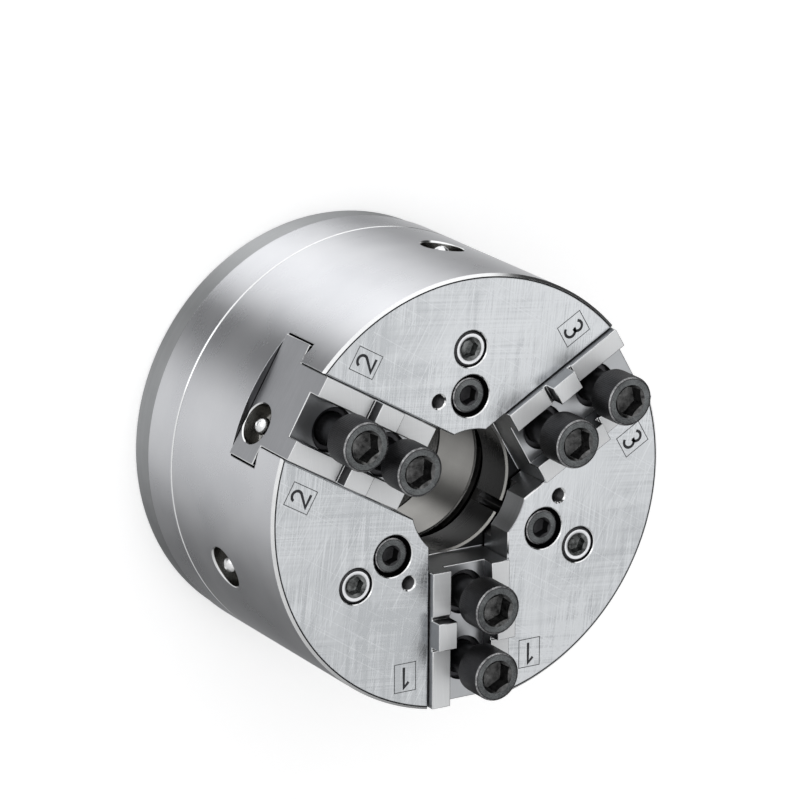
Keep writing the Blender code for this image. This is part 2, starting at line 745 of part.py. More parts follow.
def makeDrawNut():
    """The threaded ring that takes the draw tube, with grooves for its spanner."""
    profile = [
        (nutRadius, nutBottom + nutLength),
        (nutRadius, nutBottom),
        (pistonBore, nutBottom),
        (pistonBore, nutBottom + nutLength),
    ]
    nut = turned("draw_nut", profile, ringSteps, parts)
    for index in range(nutSlotCount):
        here = turn((index + 0.5) * math.tau / nutSlotCount)
        slot = box(f"nut_slot_{index + 1}", (pistonBore - deepOvercut, -nutSlotWidth / 2, 0.0),
                   (pistonBore + nutSlotDepth, nutSlotWidth / 2, chuckHeight), guides, here)
        combine(nut, slot)
    return nut


def makeSnapRing():
    """An open ring in the piston's groove, which holds the draw nut."""
    outer = snapGrooveRadius - clearance
    low = snapGrooveLow + clearance
    high = low + snapRingThickness
    inner = nutRadius - snapRingLap
    profile = [(outer, high), (outer, low), (inner, low), (inner, high)]
    ring = turned("snap_ring", profile, ringSteps, parts)
    reach = 2 * outer
    spread = reach * math.tan(snapRingGap / 2)
    gap = [(0.0, 0.0), (reach, -spread), (reach, spread)]
    combine(ring, prism("ring_gap", gap, chuckHeight, guides, turn(sectorAngles[0])))
    return ring


def makeWiperRing():
    """The scraper in the plate's bore, round the skirt of the piston."""
    top = spigotTop - wiperBelowSpigot
    low = top - wiperHeight
    inner = skirtRadius + clearance
    outer = skirtRadius + skirtBoreGap + wiperGrooveDepth - clearance
    return turned("wiper_ring", [(outer, top), (outer, low), (inner, low), (inner, top)], ringSteps, parts)


def makeBodySeal():
    """The cord ring in the side of the plate's spigot."""
    middle = plateTop + spigotHeight / 2
    centre = spigotRadius - sealCordRadius - clearance / 2
    profile = []
    for index in range(sealCordSides):
        angle = (1 - index) * math.tau / sealCordSides
        height = middle + sealCordRadius * math.sin(angle)
        profile.append((centre + sealCordRadius * math.cos(angle), height))
    return turned("body_seal", profile, ringSteps, parts)


def makeDowel():
    """The pin that keeps the plate from turning on the body."""
    half = dowelLength / 2
    flat = dowelRadius - dowelChamfer
    side = half - dowelChamfer
    upper = [(0.0, half), (flat, half), (dowelRadius, side)]
    profile = upper + [(dowelRadius, -side), (flat, -half), (0.0, -half)]
    return settle(turned("dowel_shape", profile, tinySteps, guides, closed=False))


def buildChuck():
    ground = makeMaterial("ground_steel", (0.62, 0.63, 0.65), 0.32, 1.0)
    hardened = makeMaterial("hardened_steel", (0.66, 0.66, 0.68), 0.25, 1.0)
    blackened = makeMaterial("blackened_steel", (0.05, 0.05, 0.055), 0.42, 1.0)
    bright = makeMaterial("bright_steel", (0.78, 0.78, 0.8), 0.2, 1.0)
    rubber = makeMaterial("seal_rubber", (0.02, 0.02, 0.022), 0.6, 0.0)

    body = makeChuckBody()
    body.data.materials.append(ground)
    plate = makeRearPlate()
    plate.data.materials.append(ground)
    piston = makePiston()
    piston.data.materials.append(hardened)
    nut = makeDrawNut()
    nut.data.materials.append(hardened)
    nut.parent = piston
    ring = makeSnapRing()
    ring.data.materials.append(blackened)
    ring.parent = piston
    wiper = makeWiperRing()
    wiper.data.materials.append(rubber)
    seal = makeBodySeal()
    seal.data.materials.append(rubber)

    jawMesh = makeJaw()
    hookMesh = makeHook()
    jawScrewMesh = makeScrew("jaw_screw_shape", jawScrew, jawScrewLength, smallSteps)
    nippleMesh = makeNipple()
    screwHeight = channelFloor + jawScrewStandOff - slideHeight
    for index, angle in enumerate(jawAngles, 1):
        slide = emptyAt(f"jaw_slide_{index}", angle, slideHeight)
        place(f"base_jaw_{index}", jawMesh, ground, slide)
        place(f"wedge_hook_{index}", hookMesh, hardened, slide)
        for name, radius in jawScrewRadii.items():
            seat = shift(radius, 0.0, screwHeight)
            place(f"jaw_screw_{index}_{name}", jawScrewMesh, blackened, slide, seat)
        recessFloor = jawOuter - recessDepth + clearance
        seat = shift(recessFloor, jawNippleSide, jawNippleHeight - slideHeight) @ outward
        place(f"jaw_nipple_{index}", nippleMesh, bright, slide, seat)

    blockMesh = makeGuideBlock()
    blockScrewLength = blockSeat - blockBottom - clearance
    blockScrewMesh = makeScrew("block_screw_shape", faceScrew, blockScrewLength, screwSteps)
    mountScrewLength = mountSeat + clearance - mountScrewTip
    mountScrewMesh = makeScrew("mount_screw_shape", faceScrew, mountScrewLength, screwSteps)
    for index, angle in enumerate(sectorAngles, 1):
        sector = emptyAt(f"sector_{index}", angle, 0.0)
        place(f"guide_block_{index}", blockMesh, hardened, sector)
        place(f"block_screw_{index}", blockScrewMesh, blackened, sector,
              shift(blockScrewRadius, 0.0, blockSeat + clearance))
        place(f"mount_screw_{index}", mountScrewMesh, bright, sector,
              shift(mountScrewRadius, 0.0, mountSeat + clearance))
        recessFloor = bodyRadius - recessDepth + clearance
        seat = turn(bodyNippleAngle) @ shift(recessFloor, 0.0, bodyNippleHeight) @ outward
        place(f"body_nipple_{index}", nippleMesh, bright, sector, seat)

    plateScrewMesh = makeScrew("plate_screw_shape", plateScrew, plateScrewLength, tinySteps)
    flip = Matrix.Rotation(math.pi, 4, "X")
    for index, angle in enumerate(plateScrewAngles, 1):
        post = emptyAt(f"plate_post_{index}", angle, 0.0)
        place(f"plate_screw_{index}", plateScrewMesh, blackened, post,
              shift(plateScrewRadius, 0.0, plateScrewSeat) @ flip)
    pinPost = emptyAt("dowel_post", dowelAngle, 0.0)
    place("dowel_pin", makeDowel(), bright, pinPost, shift(plateScrewRadius, 0.0, seamHeight))


clearScene()
parts = newCollection("power_chuck")
guides = newCollection("guides")
buildChuck()
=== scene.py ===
import math
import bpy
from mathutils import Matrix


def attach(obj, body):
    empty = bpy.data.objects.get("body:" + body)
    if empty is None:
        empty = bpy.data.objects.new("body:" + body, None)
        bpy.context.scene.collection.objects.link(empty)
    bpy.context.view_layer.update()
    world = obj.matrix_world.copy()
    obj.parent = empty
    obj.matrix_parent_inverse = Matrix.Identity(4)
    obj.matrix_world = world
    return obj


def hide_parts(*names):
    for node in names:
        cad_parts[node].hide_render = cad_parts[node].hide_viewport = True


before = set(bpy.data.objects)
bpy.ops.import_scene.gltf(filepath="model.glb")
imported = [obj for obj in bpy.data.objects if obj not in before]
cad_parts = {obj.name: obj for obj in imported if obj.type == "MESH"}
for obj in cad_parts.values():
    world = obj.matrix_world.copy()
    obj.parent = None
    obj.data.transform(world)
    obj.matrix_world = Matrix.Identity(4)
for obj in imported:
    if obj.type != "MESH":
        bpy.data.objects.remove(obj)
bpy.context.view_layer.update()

from types import SimpleNamespace as Sizes

import bmesh
import bpy
from mathutils import Matrix, Vector

mm = 0.001

# Sizes in this script are in millimetres, heights are above the rear face, and the jaws point
# along -90, 150 and 30 degrees. The sectors of the face lie opposite them.
jawAngles = [-90.0, 150.0, 30.0]
sectorAngles = [90.0, -30.0, -150.0]


# Mesh helpers

def turn(degrees):
    return Matrix.Rotation(math.radians(degrees), 4, "Z")


def shift(x, y, z):
    return Matrix.Translation((x * mm, y * mm, z * mm))


outward = Matrix(((0, 0, 1), (0, 1, 0), (-1, 0, 0))).to_4x4()  # +Z becomes +X
upright = Matrix(((1, 0, 0), (0, 0, -1), (0, 1, 0))).to_4x4()  # XY becomes XZ
across = Matrix(((0, 0, 1), (1, 0, 0), (0, 1, 0))).to_4x4()    # XY becomes YZ


def finished(work, finish, matrix):
    bmesh.ops.transform(work, matrix=matrix, verts=work.verts)
    bmesh.ops.remove_doubles(work, verts=work.verts, dist=0.0005 * mm)
    bmesh.ops.recalc_face_normals(work, faces=work.faces)
    mesh = bpy.data.meshes.new("shape")
    work.to_mesh(mesh)
    work.free()
    mesh.materials.append(finish)
    return mesh


def stepped(radius, height, *values):
    # a profile with square corners: its first point, then the next radius, the next height and so on
    points = [(radius, height)]
    for index, value in enumerate(values):
        radius, height = (radius, value) if index % 2 else (value, height)
        if points[-1] != (radius, height):
            points.append((radius, height))
    return points


def thread(height, end, pitch, *corners):
    # a profile's V-grooves down to the end, with each turn's corners as (radius, share of the pitch)
    points = []
    while height - pitch > end:
        points += [(radius, height - pitch * share) for radius, share in corners]
        height -= pitch
    return points


def turnedShape(profile, finish, steps, ring=False, matrix=Matrix()):
    # the profile is (radius, height) from one end to the other; a ring's closes on itself
    work = bmesh.new()
    rows = []
    for radius, height in profile:
        if radius == 0:
            rows.append([work.verts.new((0, 0, height * mm))] * steps)
            continue
        reach = radius * mm
        row = []
        for step in range(steps):
            angle = (step + 0.5) * math.tau / steps
            row.append(work.verts.new((reach * math.cos(angle), reach * math.sin(angle), height * mm)))
        rows.append(row)
    pairs = list(zip(rows, rows[1:]))
    if ring:
        pairs.append((rows[-1], rows[0]))
    for upper, lower in pairs:
        for step in range(steps):
            after = (step + 1) % steps
            corners = []
            for vertex in (upper[step], lower[step], lower[after], upper[after]):
                if vertex not in corners:
                    corners.append(vertex)
            if len(corners) > 2:
                work.faces.new(corners)
    return finished(work, finish, matrix)


def boxShape(low, high, finish, matrix=Matrix()):
    work = bmesh.new()
    bmesh.ops.create_cube(work, size=1.0)
    size = Matrix.Diagonal([(high[axis] - low[axis]) * mm for axis in range(3)] + [1.0])
    middle = shift(*[(high[axis] + low[axis]) / 2 for axis in range(3)])
    return finished(work, finish, matrix @ middle @ size)


def prismShape(outline, low, high, finish, matrix=Matrix()):
    work = bmesh.new()
    base = [work.verts.new((x * mm, y * mm, low * mm)) for x, y in outline]
    cap = [work.verts.new((x * mm, y * mm, high * mm)) for x, y in outline]
    work.faces.new(base)
    work.faces.new(cap)
    for index in range(len(outline)):
        after = (index + 1) % len(outline)
        work.faces.new((base[index], base[after], cap[after], cap[index]))
    return finished(work, finish, matrix)


def together(meshes):
    # several meshes that don't meet, as one, with their finishes kept
    finishes = []
    work = bmesh.new()
    for mesh in meshes:
        seats = []
        for finish in mesh.materials:
            if finish not in finishes:
                finishes.append(finish)
            seats.append(finishes.index(finish))
        before = len(work.faces)
        work.from_mesh(mesh)
        work.faces.ensure_lookup_table()
        for face in work.faces[before:]:
            face.material_index = seats[face.material_index]
        bpy.data.meshes.remove(mesh)
    whole = bpy.data.meshes.new("shape")
    work.to_mesh(whole)
    work.free()
    for finish in finishes:
        whole.materials.append(finish)
    return whole


def moved(mesh, matrix):
    mesh.transform(matrix)
    return mesh


def copied(mesh, matrix):
    return moved(mesh.copy(), matrix)


def placed(name, data):
    item = bpy.data.objects.new(name, data)
    bpy.context.scene.collection.objects.link(item)
    return item


def evaluated(item, *others):
    # the item's mesh with its modifier applied; it and the others that shaped it are removed
    bpy.context.view_layer.update()
    made = bpy.data.meshes.new_from_object(item.evaluated_get(bpy.context.evaluated_depsgraph_get()))
    for used in (item, *others):
        bpy.data.objects.remove(used)
    return made


def combined(mesh, tool, operation="DIFFERENCE"):
    target, cutter = placed("target", mesh), placed("cutter", tool)
    step = target.modifiers.new("Cut", "BOOLEAN")
    step.operation = operation
    step.object = cutter
    step.solver = "EXACT"
    step.material_mode = "TRANSFER"
    return evaluated(target, cutter)


def edged(mesh, width, finish):
    # rounds every edge of more than 30 degrees, in a finish of its own
    mesh.materials.append(finish)
    item = placed("edged", mesh)
    step = item.modifiers.new("Edge", "BEVEL")
    step.width = width * mm
    step.segments = 2
    step.limit_method = "ANGLE"
    step.angle_limit = math.radians(30.0)
    step.use_clamp_overlap = False
    step.material = len(mesh.materials) - 1
    return evaluated(item)


def dress(mesh, finishes, chosen):
    # gives every face the finish that is chosen for its distance from the axis and its height
    for finish in finishes:
        if mesh.materials.find(finish.name) < 0:
            mesh.materials.append(finish)
    for face in mesh.polygons:
        finish = chosen(math.hypot(face.center.x, face.center.y) / mm, face.center.z / mm)
        face.material_index = mesh.materials.find(finish.name)


def smoothed(mesh, angle=32.0, rounds=(), flats=math.inf):
    # shades the mesh, keeps faces of more than the flats' square mm flat to their edges, and gives
    # the facets of round walls about Z the normals of a true cylinder
    mesh.shade_smooth()
    mesh.set_sharp_from_angle(angle=math.radians(angle))
    for face in mesh.polygons:
        if face.area > flats * mm * mm:
            for corner in face.loop_indices:
                mesh.edges[mesh.loops[corner].edge_index].use_edge_sharp = True
    if not rounds:
        return mesh
    normals = [Vector(corner.vector) for corner in mesh.corner_normals]
    for face in mesh.polygons:
        reach = math.hypot(face.center.x, face.center.y) / mm
        facing = face.normal.dot(Vector((face.center.x, face.center.y, 0)).normalized())
        onRound = any(abs(reach - radius) < 0.08 for radius in rounds)
        if not onRound or abs(face.normal.z) > 0.01 or abs(facing) < 0.995:
            continue
        for corner in face.loop_indices:
            spot = mesh.vertices[mesh.loops[corner].vertex_index].co
            normals[corner] = math.copysign(1, facing) * Vector((spot.x, spot.y, 0)).normalized()
    mesh.normals_split_custom_set(normals)
    return mesh


def piece(name, mesh, body, slot, *nodes):
    mesh.name = name
    item = placed(name, mesh)
    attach(item, body)
    if nodes:
        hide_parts(*nodes)


# Node helpers

class Wire:
    # one output of a node, with the arithmetic that the trees use
    def __init__(self, nodes, node, output=0):
        self.nodes = nodes
        self.node = node
        self.output = output

    def __getitem__(self, output):
        return Wire(self.nodes, self.node, output)

    def maths(self, operation, first, second):
        return self.nodes.add("ShaderNodeMath", {0: first, 1: second}, operation=operation)

    def __add__(self, other):
        return self.maths("ADD", self, other)

    def __radd__(self, other):
        return self.maths("ADD", other, self)

    def __sub__(self, other):
        return self.maths("SUBTRACT", self, other)

    def __rsub__(self, other):
        return self.maths("SUBTRACT", other, self)

    def __mul__(self, other):
        return self.maths("MULTIPLY", self, other)

    def __rmul__(self, other):
        return self.maths("MULTIPLY", other, self)

    def __truediv__(self, other):
        return self.maths("DIVIDE", self, other)

    def __rtruediv__(self, other):
        return self.maths("DIVIDE", other, self)


class Nodes:
    # a tree of nodes, for a finish, the world, the floor or Geometry Nodes
    def __init__(self, tree):
        self.tree = tree

    def link(self, wire, socket):
        self.tree.links.new(wire.node.outputs[wire.output], socket)

    def add(self, kind, sockets=None, stops=(), **settings):
        # the settings and a ramp's stops come first, then the values or wires of the sockets
        made = self.tree.nodes.new(kind)
        for key, value in settings.items():
            setattr(made, key, value)
        if stops:
            ramp = made.color_ramp.elements
            while len(ramp) < len(stops):
                ramp.new(1.0)
            for stop, (position, shade) in zip(ramp, stops):
                stop.position = position
                stop.color = (shade, shade, shade, 1.0)
        for key, value in (sockets or {}).items():
            if isinstance(value, Wire):
                self.link(value, made.inputs[key])
            else:
                made.inputs[key].default_value = value
        return Wire(self, made)

    def ramp(self, value, stops):
        return self.add("ShaderNodeValToRGB", {"Fac": value}, stops)

    def mix(self, amount, dark, light):
        return self.add("ShaderNodeMix", {"Factor": amount, 6: dark, 7: light}, data_type="RGBA")[2]


class Finish(Nodes):
    # a material whose Principled BSDF is fed by nodes
    def __init__(self, name, metallic, stretched=0.0):
        self.dark, self.light, self.roughness = finishes[name]
        self.material = bpy.data.materials.new(name)
        self.material.use_nodes = True
        super().__init__(self.material.node_tree)
        self.shader = self.tree.nodes["Principled BSDF"]
        self.shader.inputs["Roughness"].default_value = self.roughness
        self.shader.inputs["Metallic"].default_value = metallic
        self.shader.inputs["Anisotropic"].default_value = stretched
        self.shader.inputs["Anisotropic Rotation"].default_value = 0.25  # gloss is drawn out along Z

    def noise(self, stretch, detail=2.0, roughness=0.5, spin=0.0, offset=(0.0, 0.0, 0.0)):
        # noise on the object's own coordinates, which are turned about Z, moved and then stretched
        turned = self.add("ShaderNodeMapping", {
            "Vector": self.add("ShaderNodeTexCoord")["Object"],
            "Rotation": (0.0, 0.0, math.radians(spin)), "Location": offset})
        where = self.add("ShaderNodeMapping", {"Vector": turned, "Scale": stretch})
        return self.add("ShaderNodeTexNoise", {
            "Vector": where, "Scale": 1.0, "Detail": detail, "Roughness": roughness})

    def bump(self, height, distance, strength, soft):
        # the distance and the look of rounded edges, soft, are in millimetres
        edge = self.add("ShaderNodeBevel", {"Radius": soft * mm}, samples=4)
        return self.add("ShaderNodeBump", {
            "Height": height, "Distance": distance * mm, "Strength": strength, "Normal": edge})

    def done(self, tone, darkAt, lightAt, rougher, normal):
        shade = self.ramp(tone, [(darkAt, 0.0), (lightAt, 1.0)])
        colour = self.mix(shade, (*self.dark, 1.0), (*self.light, 1.0))
        rough = self.roughness + rougher
        for key, wire in (("Base Color", colour), ("Roughness", rough), ("Normal", normal)):
            self.link(wire, self.shader.inputs[key])
        return self.material


# Finishes, each with its dark colour, its light colour and its roughness

finishes = {
    "ground_face": ((0.42, 0.435, 0.45), (0.70, 0.72, 0.74), 0.32),
    "ground_jaw": ((0.66, 0.67, 0.68), (0.80, 0.81, 0.82), 0.40),
    "turned_side": ((0.68, 0.69, 0.725), (0.85, 0.86, 0.885), 0.28),
    "turned_band": ((0.36, 0.37, 0.38), (0.52, 0.53, 0.54), 0.46),
    "milled_wall": ((0.34, 0.35, 0.36), (0.50, 0.51, 0.53), 0.34),
    "milled_end": ((0.50, 0.51, 0.535), (0.66, 0.67, 0.70), 0.38),
    # near-black steel for slots, relief grooves and threaded holes: painted shade in these hollows
    "slot_painted_shade": ((0.05, 0.05, 0.052), (0.12, 0.12, 0.125), 0.36),
    # near-black steel for drilled holes: painted shade inside them
    "hole_painted_shade": ((0.03, 0.03, 0.033), (0.08, 0.08, 0.085), 0.40),
    "honed_bore": ((0.18, 0.176, 0.168), (0.37, 0.365, 0.35), 0.24),
    # near-black steel for the inside of the chuck: painted shade where the cavity, pockets and grooves lie in
    # shadow
    "inner_painted_shade": ((0.022, 0.022, 0.022), (0.050, 0.050, 0.050), 0.28),
    "bright_steel": ((0.74, 0.75, 0.76), (0.90, 0.905, 0.91), 0.14),
    "bare_screw_top": ((0.70, 0.71, 0.73), (0.88, 0.89, 0.91), 0.34),
    "black_oxide": ((0.030, 0.030, 0.032), (0.085, 0.085, 0.090), 0.34),
    "black_oxide_face": ((0.034, 0.036, 0.037), (0.27, 0.285, 0.29), 0.40),
    "worn_rim": ((0.07, 0.07, 0.075), (0.80, 0.80, 0.81), 0.26),
    "broached_socket": ((0.03, 0.03, 0.03), (0.16, 0.16, 0.16), 0.24),
    "bare_socket": ((0.04, 0.042, 0.042), (0.28, 0.29, 0.29), 0.24),
    "seal_rubber": ((0.012, 0.012, 0.013), (0.030, 0.030, 0.032), 0.60),
    # near-black for the etched station marks, and for the scribe inside the face's rim, where it is a painted
    # line of shade
    "etched_mark_and_rim_shade": ((0.014, 0.015, 0.018), (0.040, 0.042, 0.048), 0.60),
}


def groundFinish(name, families, scratches, bump=0.01, metallic=1.0):
    # flat ground steel: streaks in several directions over a cloud, with a few clear scratches;
    # families and scratches are (direction in degrees, width and length in mm, strength)
    made = Finish(name, metallic)
    cloud = made.noise((28, 28, 28), 3.0)
    broad = made.noise((9, 9, 9), 0.0, offset=(0.35, 0.2, 0.0))
    total = (cloud - 0.5) * 0.5 + (broad - 0.5) * 0.8
    fine = None
    for index, (spin, width, length, depth) in enumerate(families):
        lines = made.noise((1000 / length, 1000 / width, 60.0), 3.0, 0.62, spin,
                           (0.013 * index, 0.007, 0.0))
        worn = made.noise((45, 45, 45), 1.0, offset=(0.03 * index, 0.0, 0.0))
        streak = (lines - 0.5) * made.ramp(worn, [(0.38, 0.05), (0.62, 1.0)]) * depth
        total = total + streak
        fine = streak if fine is None else fine + streak
    for index, (spin, width, length, depth) in enumerate(scratches):
        lines = made.noise((1000 / length, 1000 / width, 40.0), 0.0, 0.5, spin,
                           (0.3 + 0.11 * index, 0.2, 0.0))
        total = total + made.ramp(lines, [(0.66, 0.0), (0.76, 1.0)]) * depth
    return made.done(total + 0.5, 0.28, 0.72, total * 0.25, made.bump(fine, bump, 0.5, 0.4))


def linedFinish(name, stretch, cloudSize, depth, stretched=0.0, soft=0.4, clouds=0.5):
    # turned, milled or bored steel: fine lines one way, with a faint cloud and small specks; stretch
    # and cloudSize are features per metre, and stretched is how far the gloss is drawn out
    made = Finish(name, 1.0, stretched)
    lines = made.noise(stretch, 2.0, 0.6)
    cloud = made.noise((cloudSize,) * 3, 3.0)
    specks = made.noise((900, 900, 900), 2.0)
    total = (lines - 0.5) * depth + (cloud - 0.5) * clouds + (specks - 0.5) * 0.08
    return made.done(total + 0.5, 0.2, 0.8, total * 0.14, made.bump(lines * depth, 0.004, 0.3, soft))


def oxideFinish(name, mottle, metallic, wear=0.35):
    # black oxide: a dark skin, mottled so many times per metre, with fine scratches that show steel
    made = Finish(name, metallic)
    grain = made.noise((mottle, mottle, mottle), 4.0, 0.7)
    cloud = made.noise((160, 160, 160), 2.0)
    scratch = made.noise((260, 5200, 400), 2.0, spin=35)
    marks = made.ramp(scratch, [(0.60, 0.0), (0.74, 0.6)])
    total = (grain - 0.5) * 0.9 + (cloud - 0.5) * 0.5 + marks * wear
    return made.done(total + 0.45, 0.25, 0.9, (grain - 0.5) * 0.22, made.bump(grain, 0.02, 0.35, 0.25))


faceSteel = groundFinish(
    "ground_face",
    [(96, 0.6, 28, 1.3), (7, 0.9, 60, 0.8), (-57, 1.0, 34, 0.5), (93, 3.2, 55, 1.1), (3, 4.2, 90, 0.7)],
    [(-60, 0.5, 40, 0.18), (98, 0.4, 22, 0.26), (33, 0.5, 60, 0.14)])
jawSteel = groundFinish("ground_jaw", [(88, 0.5, 40, 0.35), (5, 1.6, 40, 0.3)], [(80, 0.4, 14, 0.1)],
                        0.003, 0.35)
sideSteel = linedFinish("turned_side", (14, 14, 3000), 26, 0.12, stretched=0.6, soft=0.6, clouds=1.1)
bandSteel = linedFinish("turned_band", (14, 14, 2400), 40, 0.4, stretched=0.4, clouds=0.9)
wallSteel = linedFinish("milled_wall", (60, 60, 2200), 90, 0.6)
endSteel = linedFinish("milled_end", (60, 60, 2600), 60, 0.5)
# painted shade: the T-slots' undercuts, the relief grooves and the threaded holes are near-black where shade
# falls
paintedSlotShade = linedFinish("slot_painted_shade", (60, 60, 2200), 90, 0.8)
# painted shade: the walls of the screw, dowel and shank holes are near-black where shade falls
paintedHoleShade = linedFinish("hole_painted_shade", (200, 200, 2600), 160, 1.0)
boreSteel = linedFinish("honed_bore", (90, 90, 8), 24, 0.5, clouds=1.4)
# painted shade: the cavity, pockets, grooves, the jaws' hidden faces and the inner parts are near-black where
# shade falls
paintedInnerShade = linedFinish("inner_painted_shade", (80, 80, 1800), 80, 0.3)
brightSteel = linedFinish("bright_steel", (400, 400, 3000), 300, 0.5, soft=0.1)
screwSteel = linedFinish("bare_screw_top", (500, 500, 500), 300, 0.5, soft=0.1)
blackSteel = oxideFinish("black_oxide", 2600, 0.9, 0.15)
blackFaceSteel = oxideFinish("black_oxide_face", 2200, 0.8, 0.5)
wornSteel = oxideFinish("worn_rim", 700, 1.0)
socketSteel = linedFinish("broached_socket", (900, 900, 60), 420, 0.6, soft=0.15, clouds=1.5)
bareSocket = linedFinish("bare_socket", (900, 900, 60), 420, 0.6, soft=0.15, clouds=1.5)
sealRubber = oxideFinish("seal_rubber", 1500, 0.0)
# the station marks are etched; the same near-black on the rim's scribe is a painted shade line
etchedAndRimShade = oxideFinish("etched_mark_and_rim_shade", 4000, 0.2)
print("finishes made:", len(bpy.data.materials))


# Chuck body

body = dict(
    radius=80.0, face=102.0, bottom=29.05, rim=0.95, scribe=0.5, step=0.05, seam=0.36, steps=192,
    bore=23.7, boreLand=90.5, relief=27.2, cavity=47.0, recess=60.3, recessTop=32.05,
    slotFloor=69.1, neckHalf=16.35, neckStart=12.0, neckLow=77.0, flangeHalf=23.85, flangeTop=86.2,
    flangeGap=0.11, edge=0.45,
    pocketHalf=11.4, pocketEnd=58.75, pocketLow=31.75, padRadius=41.0, pistonTop=60.3,
    hookTilt=math.tan(math.radians(15.0)),
)
holes = dict(
    mountCircle=53.3, mountHead=6.65, mountSeat=92.9, mountShank=4.3,
    blockCircle=36.1, blockHead=7.75, blockSeat=91.0, blockLow=65.0, lip=0.35, steps=48,
    stopCircle=38.2, stopAngle=19.8, stopRadius=2.5, stopDepth=13.0, stopLip=0.5, pitch=1.0, thread=0.55,
    plateCircle=67.0, plateSpread=25.0, plateShank=3.3, plateTip=45.5,
    dowel=3.3, dowelTop=38.5, dowelLow=19.3,
    recessRadius=8.0, recessDepth=8.0, recessLip=0.65, nippleHole=3.3, nippleDeep=13.1,
    bodyNippleAngle=-10.0, bodyNippleHeight=59.5, jawNippleSide=9.6, jawNippleHeight=77.0,
)
plateAngles = [angle + side * holes["plateSpread"] for angle in sectorAngles for side in (-1, 1)]


def brightLip(tool, floor, finish=brightSteel):
    # the faces above the floor that a cutter leaves leaning upward are its chamfer
    tool.materials.append(finish)
    for face in tool.polygons:
        if -0.95 < face.normal.z < -0.2 and face.center.z / mm > floor:
            face.material_index = len(tool.materials) - 1
    return tool


def chamferedHole(radius, seat, low, face):
    lip = holes["lip"]
    profile = [(0, face + 1.0), (radius + lip + 1.0, face + 1.0),
               *stepped(radius, face - lip, radius, seat, holes["mountShank"], low, 0)]
    # the hole's walls are painted near-black as shade, its chamfer bright
    return brightLip(turnedShape(profile, paintedHoleShade, holes["steps"]), face - lip)


def threadedHole(radius, depth, face, pitch, tooth):
    lip = holes["stopLip"]
    profile = [(0, face + 1.0), (radius + lip + 1.0, face + 1.0), (radius, face - lip)]
    profile += thread(face - lip, face - depth, pitch, (radius + tooth, 0.5), (radius, 1.0))
    profile += [(radius, face - depth), (0, face - depth - radius * 0.6)]
    # the thread is painted near-black as shade inside the hole
    return brightLip(turnedShape(profile, paintedSlotShade, 32), face - lip)


def nippleRecess(radius, lip):
    depth, over = holes["recessDepth"], 3.0
    # the recess walls take the darker bore finish, a painted shade inside the recess
    profile = [(0, over), (radius + lip + over, over), (radius, -lip), (radius, 0.6 - depth),
               *stepped(radius - 0.6, -depth, holes["nippleHole"], -holes["nippleDeep"], 0)]
    return brightLip(turnedShape(profile, boreSteel, holes["steps"]), -lip)


def drilledHole(radius, top, low, angle):
    # a plain hole on the circle of the plate screws, its wall painted near-black as shade
    return turnedShape(stepped(0, top, radius, low, 0), paintedHoleShade, 24,
                       matrix=turn(angle) @ shift(holes["plateCircle"], 0, 0))


